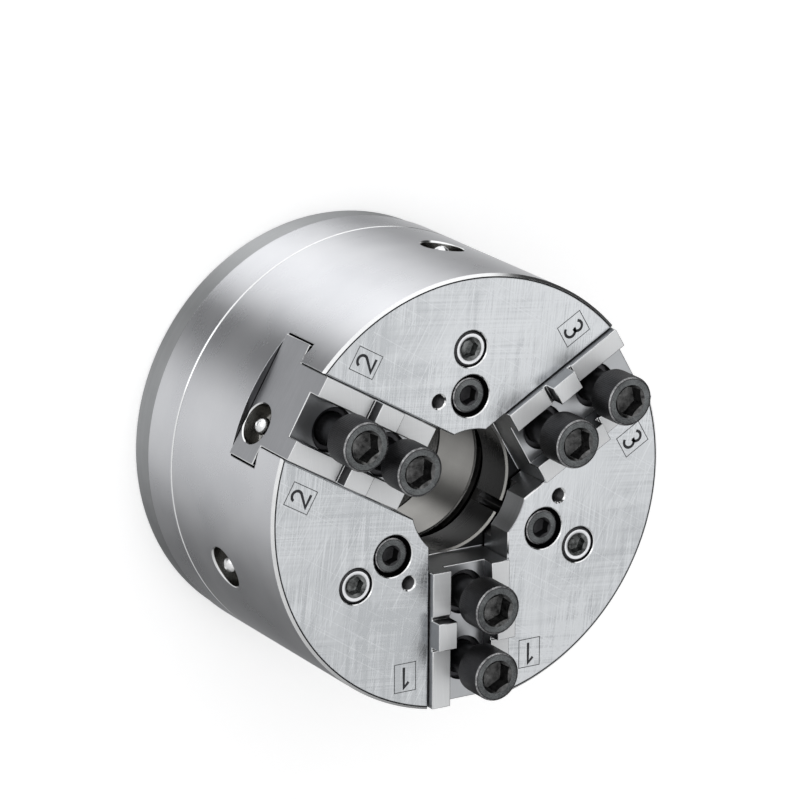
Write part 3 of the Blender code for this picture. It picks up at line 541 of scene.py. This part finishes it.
def chuckBody():
    size, hole = Sizes(**body), Sizes(**holes)
    radius, top, low, rim, seam = size.radius, size.face, size.bottom, size.rim, size.seam
    ceiling = size.slotFloor + 0.3
    shell = turnedShape([
        (radius - rim - size.scribe, top), (radius - rim - size.scribe * 0.5, top - size.scribe),
        (radius - rim, top - size.step), (radius, top - rim - size.step), (radius, low + seam),
        *stepped(radius - seam, low, size.recess, size.recessTop, size.cavity, ceiling, size.relief,
                 size.boreLand, size.bore, top - 0.3),
        (size.bore + 0.3, top),
    ], sideSteel, size.steps, ring=True)

    def finishAt(reach, height):
        if height > top - 0.01:
            return faceSteel
        if reach < size.relief and height > size.boreLand:
            return wallSteel
        # the cavity behind the face is painted near-black as shade
        if reach < size.recess + 1:
            return paintedInnerShade
        # the scribe inside the rim is painted near-black as a line of shade
        if height > top - rim * 0.9 and reach < radius - rim:
            return etchedAndRimShade
        if height > top - rim or abs(height - low) < seam:
            return brightSteel
        return sideSteel

    dress(shell, (faceSteel, paintedInnerShade, brightSteel, etchedAndRimShade, wallSteel), finishAt)
    far = radius + 4.0
    flange, neck = size.flangeHalf, size.neckHalf
    edge = neck + size.edge + 1.0
    pad = size.padRadius + (size.pistonTop - size.flangeTop) * size.hookTilt
    necks, flanges, pockets, edges = [], [], [], []
    for angle in jawAngles:
        here = turn(angle)
        necks.append(boxShape((size.neckStart, -neck, size.neckLow), (far, neck, top + 6), wallSteel, here))
        # the undercuts of the T-slots are painted near-black as shade
        # the three flanges meet at the axis, so each starts just past the corner of the next two
        flanges.append(boxShape((flange / math.sqrt(3) + size.flangeGap, -flange, size.slotFloor),
                                (far, flange, size.flangeTop), paintedSlotShade, here))
        # the pockets for the wedge hooks are painted near-black as shade
        pockets.append(boxShape((pad, -size.pocketHalf, size.pocketLow),
                                (size.pocketEnd, size.pocketHalf, ceiling), paintedInnerShade, here))
        edges.append(prismShape([(-edge, top + 1), (edge, top + 1), (0, top + 1 - edge)],
                                size.neckStart, far, brightSteel, here @ across))
    for tools in (necks, flanges, pockets, edges):
        shell = combined(shell, together(tools))
    tools = []
    for angle in sectorAngles:
        here = turn(angle)
        tools += [
            moved(chamferedHole(hole.mountHead, hole.mountSeat, low - 1, top),
                  here @ shift(hole.mountCircle, 0, 0)),
            moved(chamferedHole(hole.blockHead, hole.blockSeat, hole.blockLow, top),
                  here @ shift(hole.blockCircle, 0, 0)),
            moved(threadedHole(hole.stopRadius, hole.stopDepth, top, hole.pitch, hole.thread),
                  turn(angle + hole.stopAngle) @ shift(hole.stopCircle, 0, 0)),
            moved(nippleRecess(hole.recessRadius, hole.recessLip),
                  turn(angle + hole.bodyNippleAngle) @ shift(radius, 0, hole.bodyNippleHeight) @ outward),
        ]
    tools += [drilledHole(hole.plateShank, hole.plateTip, low - 1, angle) for angle in plateAngles]
    tools.append(drilledHole(hole.dowel, hole.dowelTop, low - 1, jawAngles[0]))
    shell = combined(shell, together(tools))
    return smoothed(shell, rounds=(radius, size.bore, size.relief, size.cavity))


piece("chuck_body_ground", chuckBody(), "chuck", "ground_steel", "chuck_body")
print("chuck body made")

# Rear plate

plate = dict(
    top=28.75, band=10.6, bandEdge=0.6, bandRadius=79.4, rim=0.75, mouth=41.3, noseDepth=11.0, taper=0.125,
    skirtBore=37.1, groove=38.9, grooveLow=28.35, grooveTop=30.95, spigot=60.0, spigotTop=31.75,
    sealFloor=57.9, sealLow=29.2, sealTop=31.3, head=5.3, seat=6.8,
)


def rearPlate():
    size, radius, seam = Sizes(**plate), body["radius"], body["seam"]
    shell = turnedShape([
        (radius - seam, size.top), (radius, size.top - seam), (radius, size.band + size.bandEdge),
        *stepped(size.bandRadius, size.band, size.bandRadius, size.rim), (size.bandRadius - size.rim, 0),
        (size.mouth + 0.5, 0), (size.mouth, 0.5), (size.mouth - size.noseDepth * size.taper, size.noseDepth),
        (size.skirtBore + 0.4, size.noseDepth), (size.skirtBore, size.noseDepth + 0.4),
        *stepped(size.skirtBore, size.grooveLow, size.groove, size.grooveTop, size.skirtBore, size.spigotTop,
                 size.spigot, size.sealTop, size.sealFloor, size.sealLow, size.spigot, size.top),
    ], sideSteel, body["steps"], ring=True)

    def finishAt(reach, height):
        if height < 0.01:
            return faceSteel
        if reach < size.mouth + 1:
            return boreSteel
        if height < size.band + size.bandEdge:
            return bandSteel
        if height > size.top - seam:
            return brightSteel
        return sideSteel

    dress(shell, (faceSteel, boreSteel, bandSteel, brightSteel), finishAt)
    # the screw holes' cutters go past the plate on both sides, and paint the holes' walls near-black as shade
    shank, screw, head, past = holes["mountShank"], holes["plateShank"], size.head, 1.25
    tools = []
    for angle in sectorAngles:
        tools.append(turnedShape([*stepped(0, size.spigotTop + past, shank, 0.5), (shank + 1.5, -1), (0, -1)],
                                 paintedHoleShade, 40, matrix=turn(angle) @ shift(holes["mountCircle"], 0, 0)))
    for angle in plateAngles:
        tools.append(turnedShape([*stepped(0, size.top + past, screw, size.seat, head, 0.4),
                                  (head + 1.4, -1), (0, -1)],
                                 paintedHoleShade, 40, matrix=turn(angle) @ shift(holes["plateCircle"], 0, 0)))
    tools.append(drilledHole(holes["dowel"], size.top + past, holes["dowelLow"], jawAngles[0]))
    shell = combined(shell, together(tools))
    return smoothed(shell, rounds=(radius, size.bandRadius, size.skirtBore))


piece("rear_plate_turned", rearPlate(), "chuck", "ground_steel", "rear_plate")
print("rear plate made")

# Wedge piston, with its towers and inclined T-grooves

piston = dict(
    bore=28.1, tube=31.0, radius=46.7, top=60.3, collarTop=52.2, collarLow=40.55, skirt=36.6, skirtLow=20.0,
    nutSeat=33.3, nutLow=22.5, nutTop=35.7, snap=34.8, snapLow=20.9, trim=46.5,
    towerHalf=15.0, towerTop=59.9, towerLow=50.2, towerInner=29.3, pad=41.0, padHalf=15.3, clear=54.7,
    grooveInner=31.7, grooveHalf=10.8, lipInner=36.9, mouthHalf=6.8, steps=160,
)


def wedgeSlab(inner, outer, low, high):
    def lean(radius, height):
        return radius + (piston["top"] - height) * body["hookTilt"]
    return [(lean(inner, low), low), (lean(outer, low), low),
            (lean(outer, high), high), (lean(inner, high), high)]


def wedgePiston():
    size = Sizes(**piston)
    shell = turnedShape(stepped(
        size.bore + 0.5, size.top, size.tube, size.collarTop, size.radius, size.collarLow,
        size.skirt, size.skirtLow, size.nutSeat, size.snapLow, size.snap, size.nutLow,
        size.nutSeat, size.nutTop, size.bore, size.top - 0.5,
    ), boreSteel, size.steps, ring=True)
    for angle in jawAngles:
        outline = wedgeSlab(size.pad, size.pad + 1, size.towerLow, size.towerTop)
        outline[0], outline[3] = (size.towerInner, size.towerLow), (size.towerInner, size.towerTop)
        tower = prismShape(outline, -size.towerHalf, size.towerHalf, boreSteel, turn(angle) @ upright)
        trim = turnedShape(stepped(0, 100, size.trim, 0, 0), boreSteel, size.steps)
        shell = combined(shell, combined(tower, trim, "INTERSECT"), "UNION")
    low, high = size.collarLow - 4, size.top + 4
    # the T-grooves and pad cuts in the piston are painted near-black as shade
    for inner, outer, half in ((size.pad, size.clear, size.padHalf),
                               (size.grooveInner, size.lipInner, size.grooveHalf),
                               (size.lipInner - 0.5, size.clear, size.mouthHalf)):
        shell = combined(shell, together([
            prismShape(wedgeSlab(inner, outer, low, high), -half, half, paintedInnerShade, turn(angle) @ upright)
            for angle in jawAngles]))
    return smoothed(shell, rounds=(size.bore, size.tube, size.radius, size.skirt))


piece("wedge_piston_honed", wedgePiston(), "piston", "hardened_steel", "wedge_piston")
print("piston made")

# Draw nut and snap ring

nut = dict(outer=33.0, bore=28.1, low=22.5, top=35.4, edge=0.4, pitch=1.5, tooth=0.9, slots=4,
           slotHalf=3.0, slotFrom=24.0, slotTo=29.9)
snap = dict(outer=34.5, inner=30.5, low=21.2, top=22.2, gap=14.0)


def drawNut():
    size = Sizes(**nut)
    root, edge = size.bore + size.tooth, size.edge
    profile = [(root + edge, size.low), (size.outer - edge, size.low), (size.outer, size.low + edge),
               (size.outer, size.top), (root, size.top),
               *thread(size.top - 0.6, size.low, size.pitch, (size.bore, 0.25), (root, 0.8))]
    shell = turnedShape(profile, boreSteel, 128, ring=True)
    slots = [boxShape((size.slotFrom, -size.slotHalf, 0), (size.slotTo, size.slotHalf, 60), boreSteel,
                      turn((index + 0.5) * 360 / size.slots)) for index in range(size.slots)]
    return smoothed(combined(shell, together(slots)), rounds=(size.outer,))


def snapRing():
    size, reach = Sizes(**snap), 70.0
    spread = reach * math.tan(math.radians(size.gap / 2))
    ring = turnedShape([(size.outer, size.top), (size.outer, size.low), (size.inner, size.low),
                        (size.inner, size.top)], blackSteel, 128, ring=True)
    gap = prismShape([(0, 0), (reach, -spread), (reach, spread)], 0, 60, blackSteel, turn(sectorAngles[0]))
    return smoothed(combined(ring, gap), rounds=(size.outer, size.inner))


piece("draw_nut_threaded", drawNut(), "draw_nut", "hardened_steel", "draw_nut")
piece("snap_ring_sprung", snapRing(), "piston", "blackened_steel", "snap_ring")

# Base jaws

jaw = dict(
    inner=26.65, outer=77.6, neckHalf=15.95, flangeHalf=23.15, flangeLow=69.4, flangeTop=85.5, railTop=104.25,
    tenonTop=108.55, tenonStart=44.3, tenonEnd=54.5, relief=1.2, reliefDepth=0.8, channelHalf=8.4,
    channelFloor=98.6, bore=25.7, ledge=0.8, apex=2.6, edge=0.3, keyStart=46.7, keyEnd=53.3, keyHalf=11.3,
    keyTop=73.3, screws=(37.5, 62.4), threadLow=79.4, shankHole=6.2, shankRecess=7.9, shankDepth=2.0,
    recessRadius=7.5, recessLip=0.4,
)


def baseJaw():
    size = Sizes(**jaw)
    far, flange, neck, floor = size.outer, size.flangeHalf, size.neckHalf, size.channelFloor
    past, wide, high, ledge = far + 9, flange + 5, size.tenonTop + 5, size.ledge
    # the foot under the neck is painted near-black as shade
    foot = boxShape((8, -flange, size.flangeLow), (far + 4, flange, size.flangeTop), paintedInnerShade)
    upper = boxShape((size.inner, -neck, 80), (far + 5, neck, size.tenonTop), wallSteel)
    block = combined(foot, upper, "UNION")
    rail, relief = size.relief / 2, size.railTop - size.reliefDepth
    # the relief grooves beside the tenon are painted near-black as shade
    cuts = [boxShape((start, -half, low), (end, half, high), finish) for start, end, half, low, finish in (
        (far, past, wide, 0, endSteel),
        (size.tenonStart - size.relief, size.tenonStart, wide, relief, paintedSlotShade),
        (size.tenonEnd, size.tenonEnd + size.relief, wide, relief, paintedSlotShade),
        (0, size.tenonStart - rail, wide, size.railTop, jawSteel),
        (size.tenonEnd + rail, past, wide, size.railTop, jawSteel),
        (0, past, size.channelHalf, floor, wallSteel))]
    # the inner end is a wedge of 120 degrees between the other two jaws
    apex, reach = size.apex, 80.0
    # the inner end's faces are painted near-black as shade
    for side in (-1, 1):
        corner = (apex + reach / 2, side * reach * math.sin(math.pi / 3))
        cuts.append(prismShape([(apex, 0), (apex - reach, 0), (apex - reach, side * 2 * reach), corner],
                               0, 200, paintedInnerShade))
    for tool in cuts:
        block = combined(block, tool)
    tops = block.materials.find(jawSteel.name)
    for face in block.polygons:
        if face.normal.z > 0.9 and face.center.z / mm > size.railTop - 0.1:
            face.material_index = tops
    block = edged(block, size.edge, brightSteel)
    # the arc round the bore is painted near-black as shade, with a lighter lip
    arc = turnedShape([(0, high), (size.bore + ledge, high), (size.bore + ledge, size.flangeTop + 0.02),
                       *stepped(size.bore, size.flangeTop - ledge, size.bore, 0, 0)], paintedInnerShade, 160)
    tools = [brightLip(arc, size.flangeTop - ledge, boreSteel)]
    # the screw holes are painted near-black as shade inside
    for place in size.screws:
        profile = [(0, floor + 1), (size.shankRecess + 1.3, floor + 1),
                   *stepped(size.shankRecess, floor - 0.3, size.shankRecess, floor - size.shankDepth,
                            size.shankHole, size.threadLow, 0)]
        tools.append(moved(turnedShape(profile, paintedHoleShade, 64), shift(place, 0, 0)))
    tools.append(boxShape((size.keyStart, -size.keyHalf, 60), (size.keyEnd, size.keyHalf, size.keyTop),
                          wallSteel))
    tools.append(moved(nippleRecess(size.recessRadius, size.recessLip),
                       shift(far, holes["jawNippleSide"], holes["jawNippleHeight"]) @ outward))
    for tool in tools:
        block = combined(block, tool)
    return block


oneJaw = baseJaw()
for index, angle in enumerate(jawAngles, 1):
    made = smoothed(copied(oneJaw, turn(angle)), 28.0, rounds=(jaw["bore"],), flats=20.0)
    piece(f"base_jaw_{index}_ground", made, f"jaw_{index}", "ground_steel", f"base_jaw_{index}")
print("jaws made")

# The wedge hooks, guide blocks, seals and dowel keep their CAD solids and get better finishes; the hooks and
# guide blocks are painted near-black as inner shade
keptNodes = {"wiper_ring": sealRubber, "body_seal": sealRubber, "dowel_pin": brightSteel}
for index in (1, 2, 3):
    keptNodes[f"wedge_hook_{index}"] = paintedInnerShade
    keptNodes[f"guide_block_{index}"] = paintedInnerShade
for name, finish in keptNodes.items():
    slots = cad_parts[name].data.materials
    slots.clear()
    slots.append(finish)


# Geometry Nodes for what repeats round a circle

def circleTree():
    # copies a part round a circle about Z, each turned with its own angle; every size is an input
    tree = bpy.data.node_groups.new("set_round_a_circle", "GeometryNodeTree")
    tree.interface.new_socket("Geometry", in_out="OUTPUT", socket_type="NodeSocketGeometry")
    for label, kind in (("Part", "Object"), ("Count", "Int"), ("Radius", "Float"), ("Height", "Float"),
                        ("First Angle", "Float"), ("Finish", "Material")):
        tree.interface.new_socket(label, in_out="INPUT", socket_type="NodeSocket" + kind)
    nodes = Nodes(tree)
    given = nodes.add("NodeGroupInput")
    angle = nodes.add("GeometryNodeInputIndex") / given["Count"] * math.tau + given["First Angle"]
    spin = nodes.add("ShaderNodeCombineXYZ", {"Z": angle})
    reach = nodes.add("ShaderNodeCombineXYZ", {"X": given["Radius"], "Z": given["Height"]})
    spot = nodes.add("ShaderNodeVectorRotate", {"Vector": reach, "Angle": angle}, rotation_type="Z_AXIS")
    points = nodes.add("GeometryNodePoints", {"Count": given["Count"], "Position": spot})
    part = nodes.add("GeometryNodeObjectInfo", {"Object": given["Part"]}, transform_space="ORIGINAL")
    copies = nodes.add("GeometryNodeInstanceOnPoints", {
        "Points": points, "Instance": part["Geometry"], "Rotation": spin})
    solid = nodes.add("GeometryNodeRealizeInstances", {"Geometry": copies})
    # the finish goes on the faces that have it in the part, so that a part of several keeps the others
    same = nodes.add("GeometryNodeMaterialSelection", {"Material": given["Finish"]})
    dressed = nodes.add("GeometryNodeSetMaterial", {
        "Geometry": solid, "Selection": same, "Material": given["Finish"]})
    nodes.add("NodeGroupOutput", {0: dressed})
    return tree


roundACircle = circleTree()


def setRound(part, count, radius, height, firstAngle, finish):
    # the tree's result as a plain mesh
    source, holder = placed("source", part), placed("holder", bpy.data.meshes.new("empty"))
    step = holder.modifiers.new("Nodes", "NODES")
    step.node_group = roundACircle
    given = {"Part": source, "Count": count, "Radius": radius * mm, "Height": height * mm,
             "First Angle": math.radians(firstAngle), "Finish": finish}
    for socket in roundACircle.interface.items_tree:
        if socket.in_out == "INPUT":
            step[socket.identifier] = given[socket.name]
    return evaluated(holder, source)


# Socket-head screws and grease nipples

screws = {
    "jaw": dict(shank=5.9, head=9.0, height=12.0, key=10.0, deep=6.0, length=30.0, pitch=1.75, plain=14.0,
                rim=0.6, wornFrom=0.2, mouth=0.35, steps=96, seat=110.0, spins=(12.0, 20.0),
                ridges=84, ridge=0.05),
    "mount": dict(shank=4.0, head=6.5, height=8.5, key=6.0, deep=4.0, length=90.0, pitch=1.25, plain=66.0,
                  rim=0.65, wornFrom=0.0, mouth=1.05, steps=64, seat=93.2, spin=8.0),
    "block": dict(shank=4.0, head=6.5, height=9.6, key=6.0, deep=4.0, length=29.7, pitch=1.25, plain=10.0,
                  rim=0.5, wornFrom=0.2, mouth=0.35, steps=64, seat=91.3, spin=20.0),
    "plate": dict(shank=3.0, head=5.0, height=6.0, key=5.0, deep=3.0, length=38.0, pitch=1.0, plain=18.0,
                  rim=0.4, wornFrom=0.2, mouth=0.35, steps=48, seat=6.5),
}


def capScrew(screw, sideFinish, faceFinish, rimFinish, socketFinish):
    # along Z, with the underside of its head at the origin
    size = Sizes(**screw)
    rim, shank, head, top = size.rim, size.shank, size.head, size.height
    core = shank - size.pitch * 0.58
    profile = [(0, top), (head - rim * 1.5, top), (head - rim, top - rim * 0.12),
               (head - rim * 0.15, top - rim * 0.75), (head, top - rim * 1.4),
               (head, 0.5), (head - 0.5, 0), (shank + 0.35, 0), (shank, -0.35), (shank, -size.plain),
               *thread(-size.plain, size.pitch - size.length, size.pitch, (core, 0.5), (shank, 1.0)),
               (core, -size.length), (0, -size.length)]
    shape = turnedShape(profile, sideFinish, size.steps)

    def finishAt(reach, height):
        under = top - height
        if under < rim * 0.01:
            return faceFinish
        return rimFinish if rim * size.wornFrom < under < rim else sideFinish

    dress(shape, (faceFinish, rimFinish), finishAt)
    corner = size.key / 2 / math.cos(math.pi / 6)
    low, wide = top - size.deep, corner + size.mouth
    mouth = turnedShape([(0, top + 0.2), (wide + 0.2, top + 0.2), (corner - 0.7, top - 0.9), (0, top - 0.9)],
                        socketFinish, 48)
    socket = turnedShape([(0, top + 1), (corner, top + 1), (corner, low), (0, low - corner * 0.3)],
                         socketFinish, 6)
    return smoothed(combined(combined(shape, mouth), socket), 34.0)


def headRidges(size, finish):
    # the straight knurl round a head, as low ridges
    wide, depth = math.pi * size["head"] / size["ridges"] * 0.5, size["ridge"]
    ridge = prismShape([(-0.25, -wide), (-0.25, wide), (depth, wide * 0.25), (depth, -wide * 0.25)],
                       1.0, size["height"] - size["rim"] * 1.6, finish)
    return setRound(ridge, size["ridges"], size["head"], 0.0, 0.0, finish)


nipple = dict(ball=3.2, neck=2.3, hexRadius=4.0, hexHeight=3.2, height=7.6, shank=3.0, length=4.5,
              bodySeat=72.3, jawSeat=69.9)


def greaseNipple():
    size = Sizes(**nipple)
    ball, top, radius, ballAt = size.ball, size.hexHeight, size.hexRadius, size.height - size.ball
    profile = [(0, size.height - 0.45), (0.55, size.height - 0.45), (0.9, size.height - 0.08)]
    for angle in range(72, -37, -9):
        slope = math.radians(angle)
        profile.append((ball * math.cos(slope), ballAt + ball * math.sin(slope)))
    profile += [(size.neck, ballAt - ball * 0.72), (size.neck, top + 0.1), (size.shank, top - 0.3),
                (size.shank, 0.4 - size.length), (size.shank - 0.4, -size.length), (0, -size.length)]
    shape = turnedShape(profile, brightSteel, 48)
    hexagon = turnedShape(stepped(0, top, radius, 0.0, 0), brightSteel, 6)
    cone = turnedShape([(0, top + 0.6), (radius - 0.9, top + 0.6), (radius + 0.9, top - 0.9),
                        (radius + 0.9, 0.25), (radius - 0.3, -0.3), (0, -0.3)], brightSteel, 48)
    return smoothed(combined(shape, combined(hexagon, cone, "INTERSECT"), "UNION"), 34.0)


jawScrew = capScrew(screws["jaw"], blackSteel, blackFaceSteel, wornSteel, socketSteel)
knurl = headRidges(screws["jaw"], blackSteel)
oneNipple = greaseNipple()
for index, angle in enumerate(jawAngles, 1):
    parts = []
    for place, spin in zip(jaw["screws"], screws["jaw"]["spins"]):
        seat = turn(angle) @ shift(place, 0, screws["jaw"]["seat"]) @ turn(spin + 7 * index)
        parts += [copied(jawScrew, seat), copied(knurl, seat)]
    piece(f"jaw_{index}_screws", together(parts), f"jaw_{index}", "blackened_steel",
          f"jaw_screw_{index}_inner", f"jaw_screw_{index}_outer")
    seat = turn(angle) @ shift(nipple["jawSeat"], holes["jawNippleSide"], holes["jawNippleHeight"]) @ outward
    piece(f"jaw_{index}_grease_nipple", copied(oneNipple, seat), f"jaw_{index}", "bright_steel",
          f"jaw_nipple_{index}")


def onTheFace(size, circle, *finishes):
    part = moved(capScrew(size, blackSteel, *finishes), turn(size["spin"]))
    return setRound(part, 3, circle, size["seat"], sectorAngles[0], blackSteel)


def numbered(name, count):
    return [f"{name}_{index}" for index in range(1, count + 1)]


mountScrews = onTheFace(screws["mount"], holes["mountCircle"], screwSteel, blackSteel, bareSocket)
piece("mount_screws", mountScrews, "chuck", "blackened_steel", *numbered("mount_screw", 3))
blockScrews = onTheFace(screws["block"], holes["blockCircle"], blackFaceSteel, wornSteel, blackSteel)
piece("block_screws", blockScrews, "chuck", "blackened_steel", *numbered("block_screw", 3))
flipped = moved(capScrew(screws["plate"], blackSteel, blackFaceSteel, wornSteel, socketSteel),
                Matrix.Rotation(math.pi, 4, "X"))
plateSeat = shift(holes["plateCircle"], 0, screws["plate"]["seat"])
piece("plate_screws", together([copied(flipped, turn(angle) @ plateSeat) for angle in plateAngles]),
      "chuck", "blackened_steel", *numbered("plate_screw", len(plateAngles)))
bodyNipples = setRound(copied(oneNipple, outward), 3, nipple["bodySeat"], holes["bodyNippleHeight"],
                       sectorAngles[0] + holes["bodyNippleAngle"], brightSteel)
piece("body_grease_nipples", bodyNipples, "chuck", "bright_steel", *numbered("body_nipple", 3))
print("screws and nipples made")

# Station numbers and their frames, etched on the face on both sides of each jaw

stations = dict(reach=64.2, side=26.0, wide=9.0, long=10.9, line=0.28, stroke=1.05, above=0.02, below=0.01)


def arcPoints(x, y, radius, start, end):
    steps = 14
    angles = [math.radians(start + (end - start) * step / steps) for step in range(steps + 1)]
    return [(x + radius * math.cos(angle), y + radius * math.sin(angle)) for angle in angles]


# each digit is drawn in mm about its own middle, as one or two strokes
digits = {
    1: [[(-1.5, 1.9), (0.5, 3.8), (0.5, -3.8)]],
    2: [arcPoints(0.0, 1.75, 2.0, 165, -38) + [(-2.3, -3.4), (2.5, -3.4)]],
    3: [arcPoints(0.0, 1.85, 1.9, 150, -90), arcPoints(0.0, -1.65, 2.1, 95, -150)],
}


def strokeShape(path, width, matrix):
    # a flat ribbon along the path, mitred at its corners
    left, right = [], []
    for index, point in enumerate(path):
        here = Vector(point)
        before = (here - Vector(path[index - 1])).normalized() if index else None
        after = (Vector(path[index + 1]) - here).normalized() if index + 1 < len(path) else None
        along = ((before or after) + (after or before)).normalized()
        reach = width / 2 / max(0.5, along.dot(after or before))
        side = Vector((-along.y, along.x)) * reach
        left.append(tuple(here + side))
        right.append(tuple(here - side))
    return prismShape(left + right[::-1], -stations["below"], stations["above"], etchedAndRimShade, matrix)


def stationMarks(number):
    wide, long, line = stations["wide"] / 2, stations["long"] / 2, stations["line"]
    marks = []
    for side in (-1, 1):
        place = shift(stations["reach"], stations["side"] * side, body["face"])
        for low, high in (((-long, -wide), (long, line - wide)), ((-long, wide - line), (long, wide)),
                          ((-long, line - wide), (line - long, wide - line)),
                          ((long - line, line - wide), (long, wide - line))):
            marks.append(boxShape((*low, -stations["below"]), (*high, stations["above"]), etchedAndRimShade, place))
        marks += [strokeShape(path, stations["stroke"], place @ turn(-90)) for path in digits[number]]
    return marks


allMarks = []
for index, angle in enumerate(jawAngles, 1):
    allMarks += [copied(mark, turn(angle)) for mark in stationMarks(index)]
piece("station_numbers", together(allMarks), "chuck", "ground_steel")
print("station numbers made")

# Floor, lights and camera

studio = {
    "floorColour": (0.90, 0.90, 0.90), "floorRoughness": 0.9, "floorHalf": 3.0, "floorGlow": 0.35,
    # light and dark walls round the set, as (degrees from +X, level), and the level overhead
    "walls": [(-180, 0.76), (-152, 0.62), (-122, 0.20), (-95, 0.14), (-55, 0.19), (-22, 0.98), (-4, 0.74),
              (14, 0.28), (30, 0.34), (55, 0.98), (80, 1.25), (100, 1.05), (113, 0.50), (122, 0.15),
              (140, 0.24), (162, 0.66)],
    "middle": [(-180, 0.85), (-130, 0.70), (-60, 0.20), (-20, 0.10), (42, 0.04), (50, 1.2), (95, 1.35),
               (120, 1.2), (140, 1.1)],
    "overhead": [(-180, 0.97), (-120, 0.78), (-75, 0.54), (0, 0.54), (60, 0.85), (120, 1.1)],
    "lowTop": -0.5, "middleFrom": -0.15, "wallTop": 0.36, "overheadFrom": 0.62,
    "lamps": {"key": {"at": (0.9, -0.55, 1.7), "size": (1.1, 0.9), "energy": 2.0},
              "side": {"at": (-1.5, 0.9, 0.9), "size": (0.9, 1.2), "energy": 2.0},
              "near": {"at": (0.30, -0.04, 0.52), "size": (0.2, 0.2), "energy": 0.034}},
    "aim": (0.0, 0.0, 0.06),
}
camera = {
    "lens": 218.5, "sensor": 36.0, "nearest": 0.05, "location": (-0.85921, 0.53509, 1.48585),
    "right": (0.858488, 0.006497, 0.512793), "up": (0.145323, 0.955851, -0.255403),
    "back": (-0.491813, 0.293781, 0.819642),
}


def makeFloor():
    # one sheet, so that its back is what a view from below meets
    sheet = bmesh.new()
    bmesh.ops.create_grid(sheet, x_segments=1, y_segments=1, size=studio["floorHalf"])
    mesh = bpy.data.meshes.new("floor")
    sheet.to_mesh(mesh)
    sheet.free()
    material = bpy.data.materials.new("studio_floor")
    material.use_nodes = True
    nodes = Nodes(material.node_tree)
    matte = Wire(nodes, nodes.tree.nodes["Principled BSDF"])
    matte.node.inputs["Base Color"].default_value = (*studio["floorColour"], 1.0)
    matte.node.inputs["Roughness"].default_value = studio["floorRoughness"]
    # a faint glow that only the camera sees keeps the floor white outside the shadow
    rays = nodes.add("ShaderNodeLightPath")
    glow = nodes.add("ShaderNodeEmission", {"Strength": studio["floorGlow"]})
    lit = nodes.add("ShaderNodeAddShader", {0: matte, 1: glow})
    seen = nodes.add("ShaderNodeMixShader", {0: rays["Is Camera Ray"], 1: matte, 2: lit})
    # steel shows the walls of the set through the floor, and a view from below shows the rear face
    clear = nodes.add("ShaderNodeBsdfTransparent")
    below = nodes.add("ShaderNodeNewGeometry")["Backfacing"]
    through = below.maths("MAXIMUM", rays["Is Glossy Ray"], below)
    whole = nodes.add("ShaderNodeMixShader", {0: through, 1: seen, 2: clear})
    nodes.link(whole, nodes.tree.nodes["Material Output"].inputs[0])
    mesh.materials.append(material)
    placed("floor", mesh)


def makeWorld():
    world = bpy.data.worlds.new("studio_world")
    bpy.context.scene.world = world
    world.use_nodes = True
    nodes = Nodes(world.node_tree)
    parts = nodes.add("ShaderNodeSeparateXYZ", {0: nodes.add("ShaderNodeTexCoord")["Generated"]})
    share = parts["Y"].maths("ARCTAN2", parts["Y"], parts["X"]) / math.tau + 0.5
    layers = []
    for key in ("walls", "middle", "overhead"):
        levels = studio[key] + [(180, studio[key][0][1])]
        layers.append(nodes.ramp(share, [(degrees / 360 + 0.5, level) for degrees, level in levels]))
    around = layers[0]
    for layer, low, high in ((layers[1], "lowTop", "middleFrom"), (layers[2], "wallTop", "overheadFrom")):
        heights = {"Value": parts["Z"], "From Min": studio[low], "From Max": studio[high]}
        rise = nodes.add("ShaderNodeMapRange", heights, interpolation_type="SMOOTHSTEP")
        around = nodes.mix(rise, around, layer)
    sky = nodes.add("ShaderNodeBackground", {"Color": around})
    white = nodes.add("ShaderNodeBackground", {"Color": (1, 1, 1, 1)})
    seen = nodes.add("ShaderNodeLightPath")["Is Camera Ray"]
    whole = nodes.add("ShaderNodeMixShader", {0: seen, 1: sky, 2: white})
    nodes.link(whole, nodes.tree.nodes["World Output"].inputs[0])


def makeLamp(name, settings):
    data = bpy.data.lights.new(name, "AREA")
    data.shape = "RECTANGLE"
    data.size, data.size_y = settings["size"]
    data.energy = settings["energy"]
    lamp = placed(name, data)
    lamp.location = settings["at"]
    lamp.rotation_euler = (Vector(studio["aim"]) - lamp.location).to_track_quat("-Z", "Y").to_euler()


def makeCamera():
    lens = bpy.data.cameras.new("camera")
    lens.lens = camera["lens"]
    lens.sensor_width = camera["sensor"]
    lens.clip_start = camera["nearest"]
    view = placed("camera", lens)
    columns = [camera[key] for key in ("right", "up", "back", "location")]
    view.matrix_world = Matrix([[column[row] for column in columns] for row in range(3)] + [[0, 0, 0, 1]])
    bpy.context.scene.camera = view


makeFloor()
makeWorld()
for name, settings in studio["lamps"].items():
    makeLamp(name + "_softbox", settings)
makeCamera()
bpy.context.scene.view_settings.view_transform = "Standard"

print("scene ready")
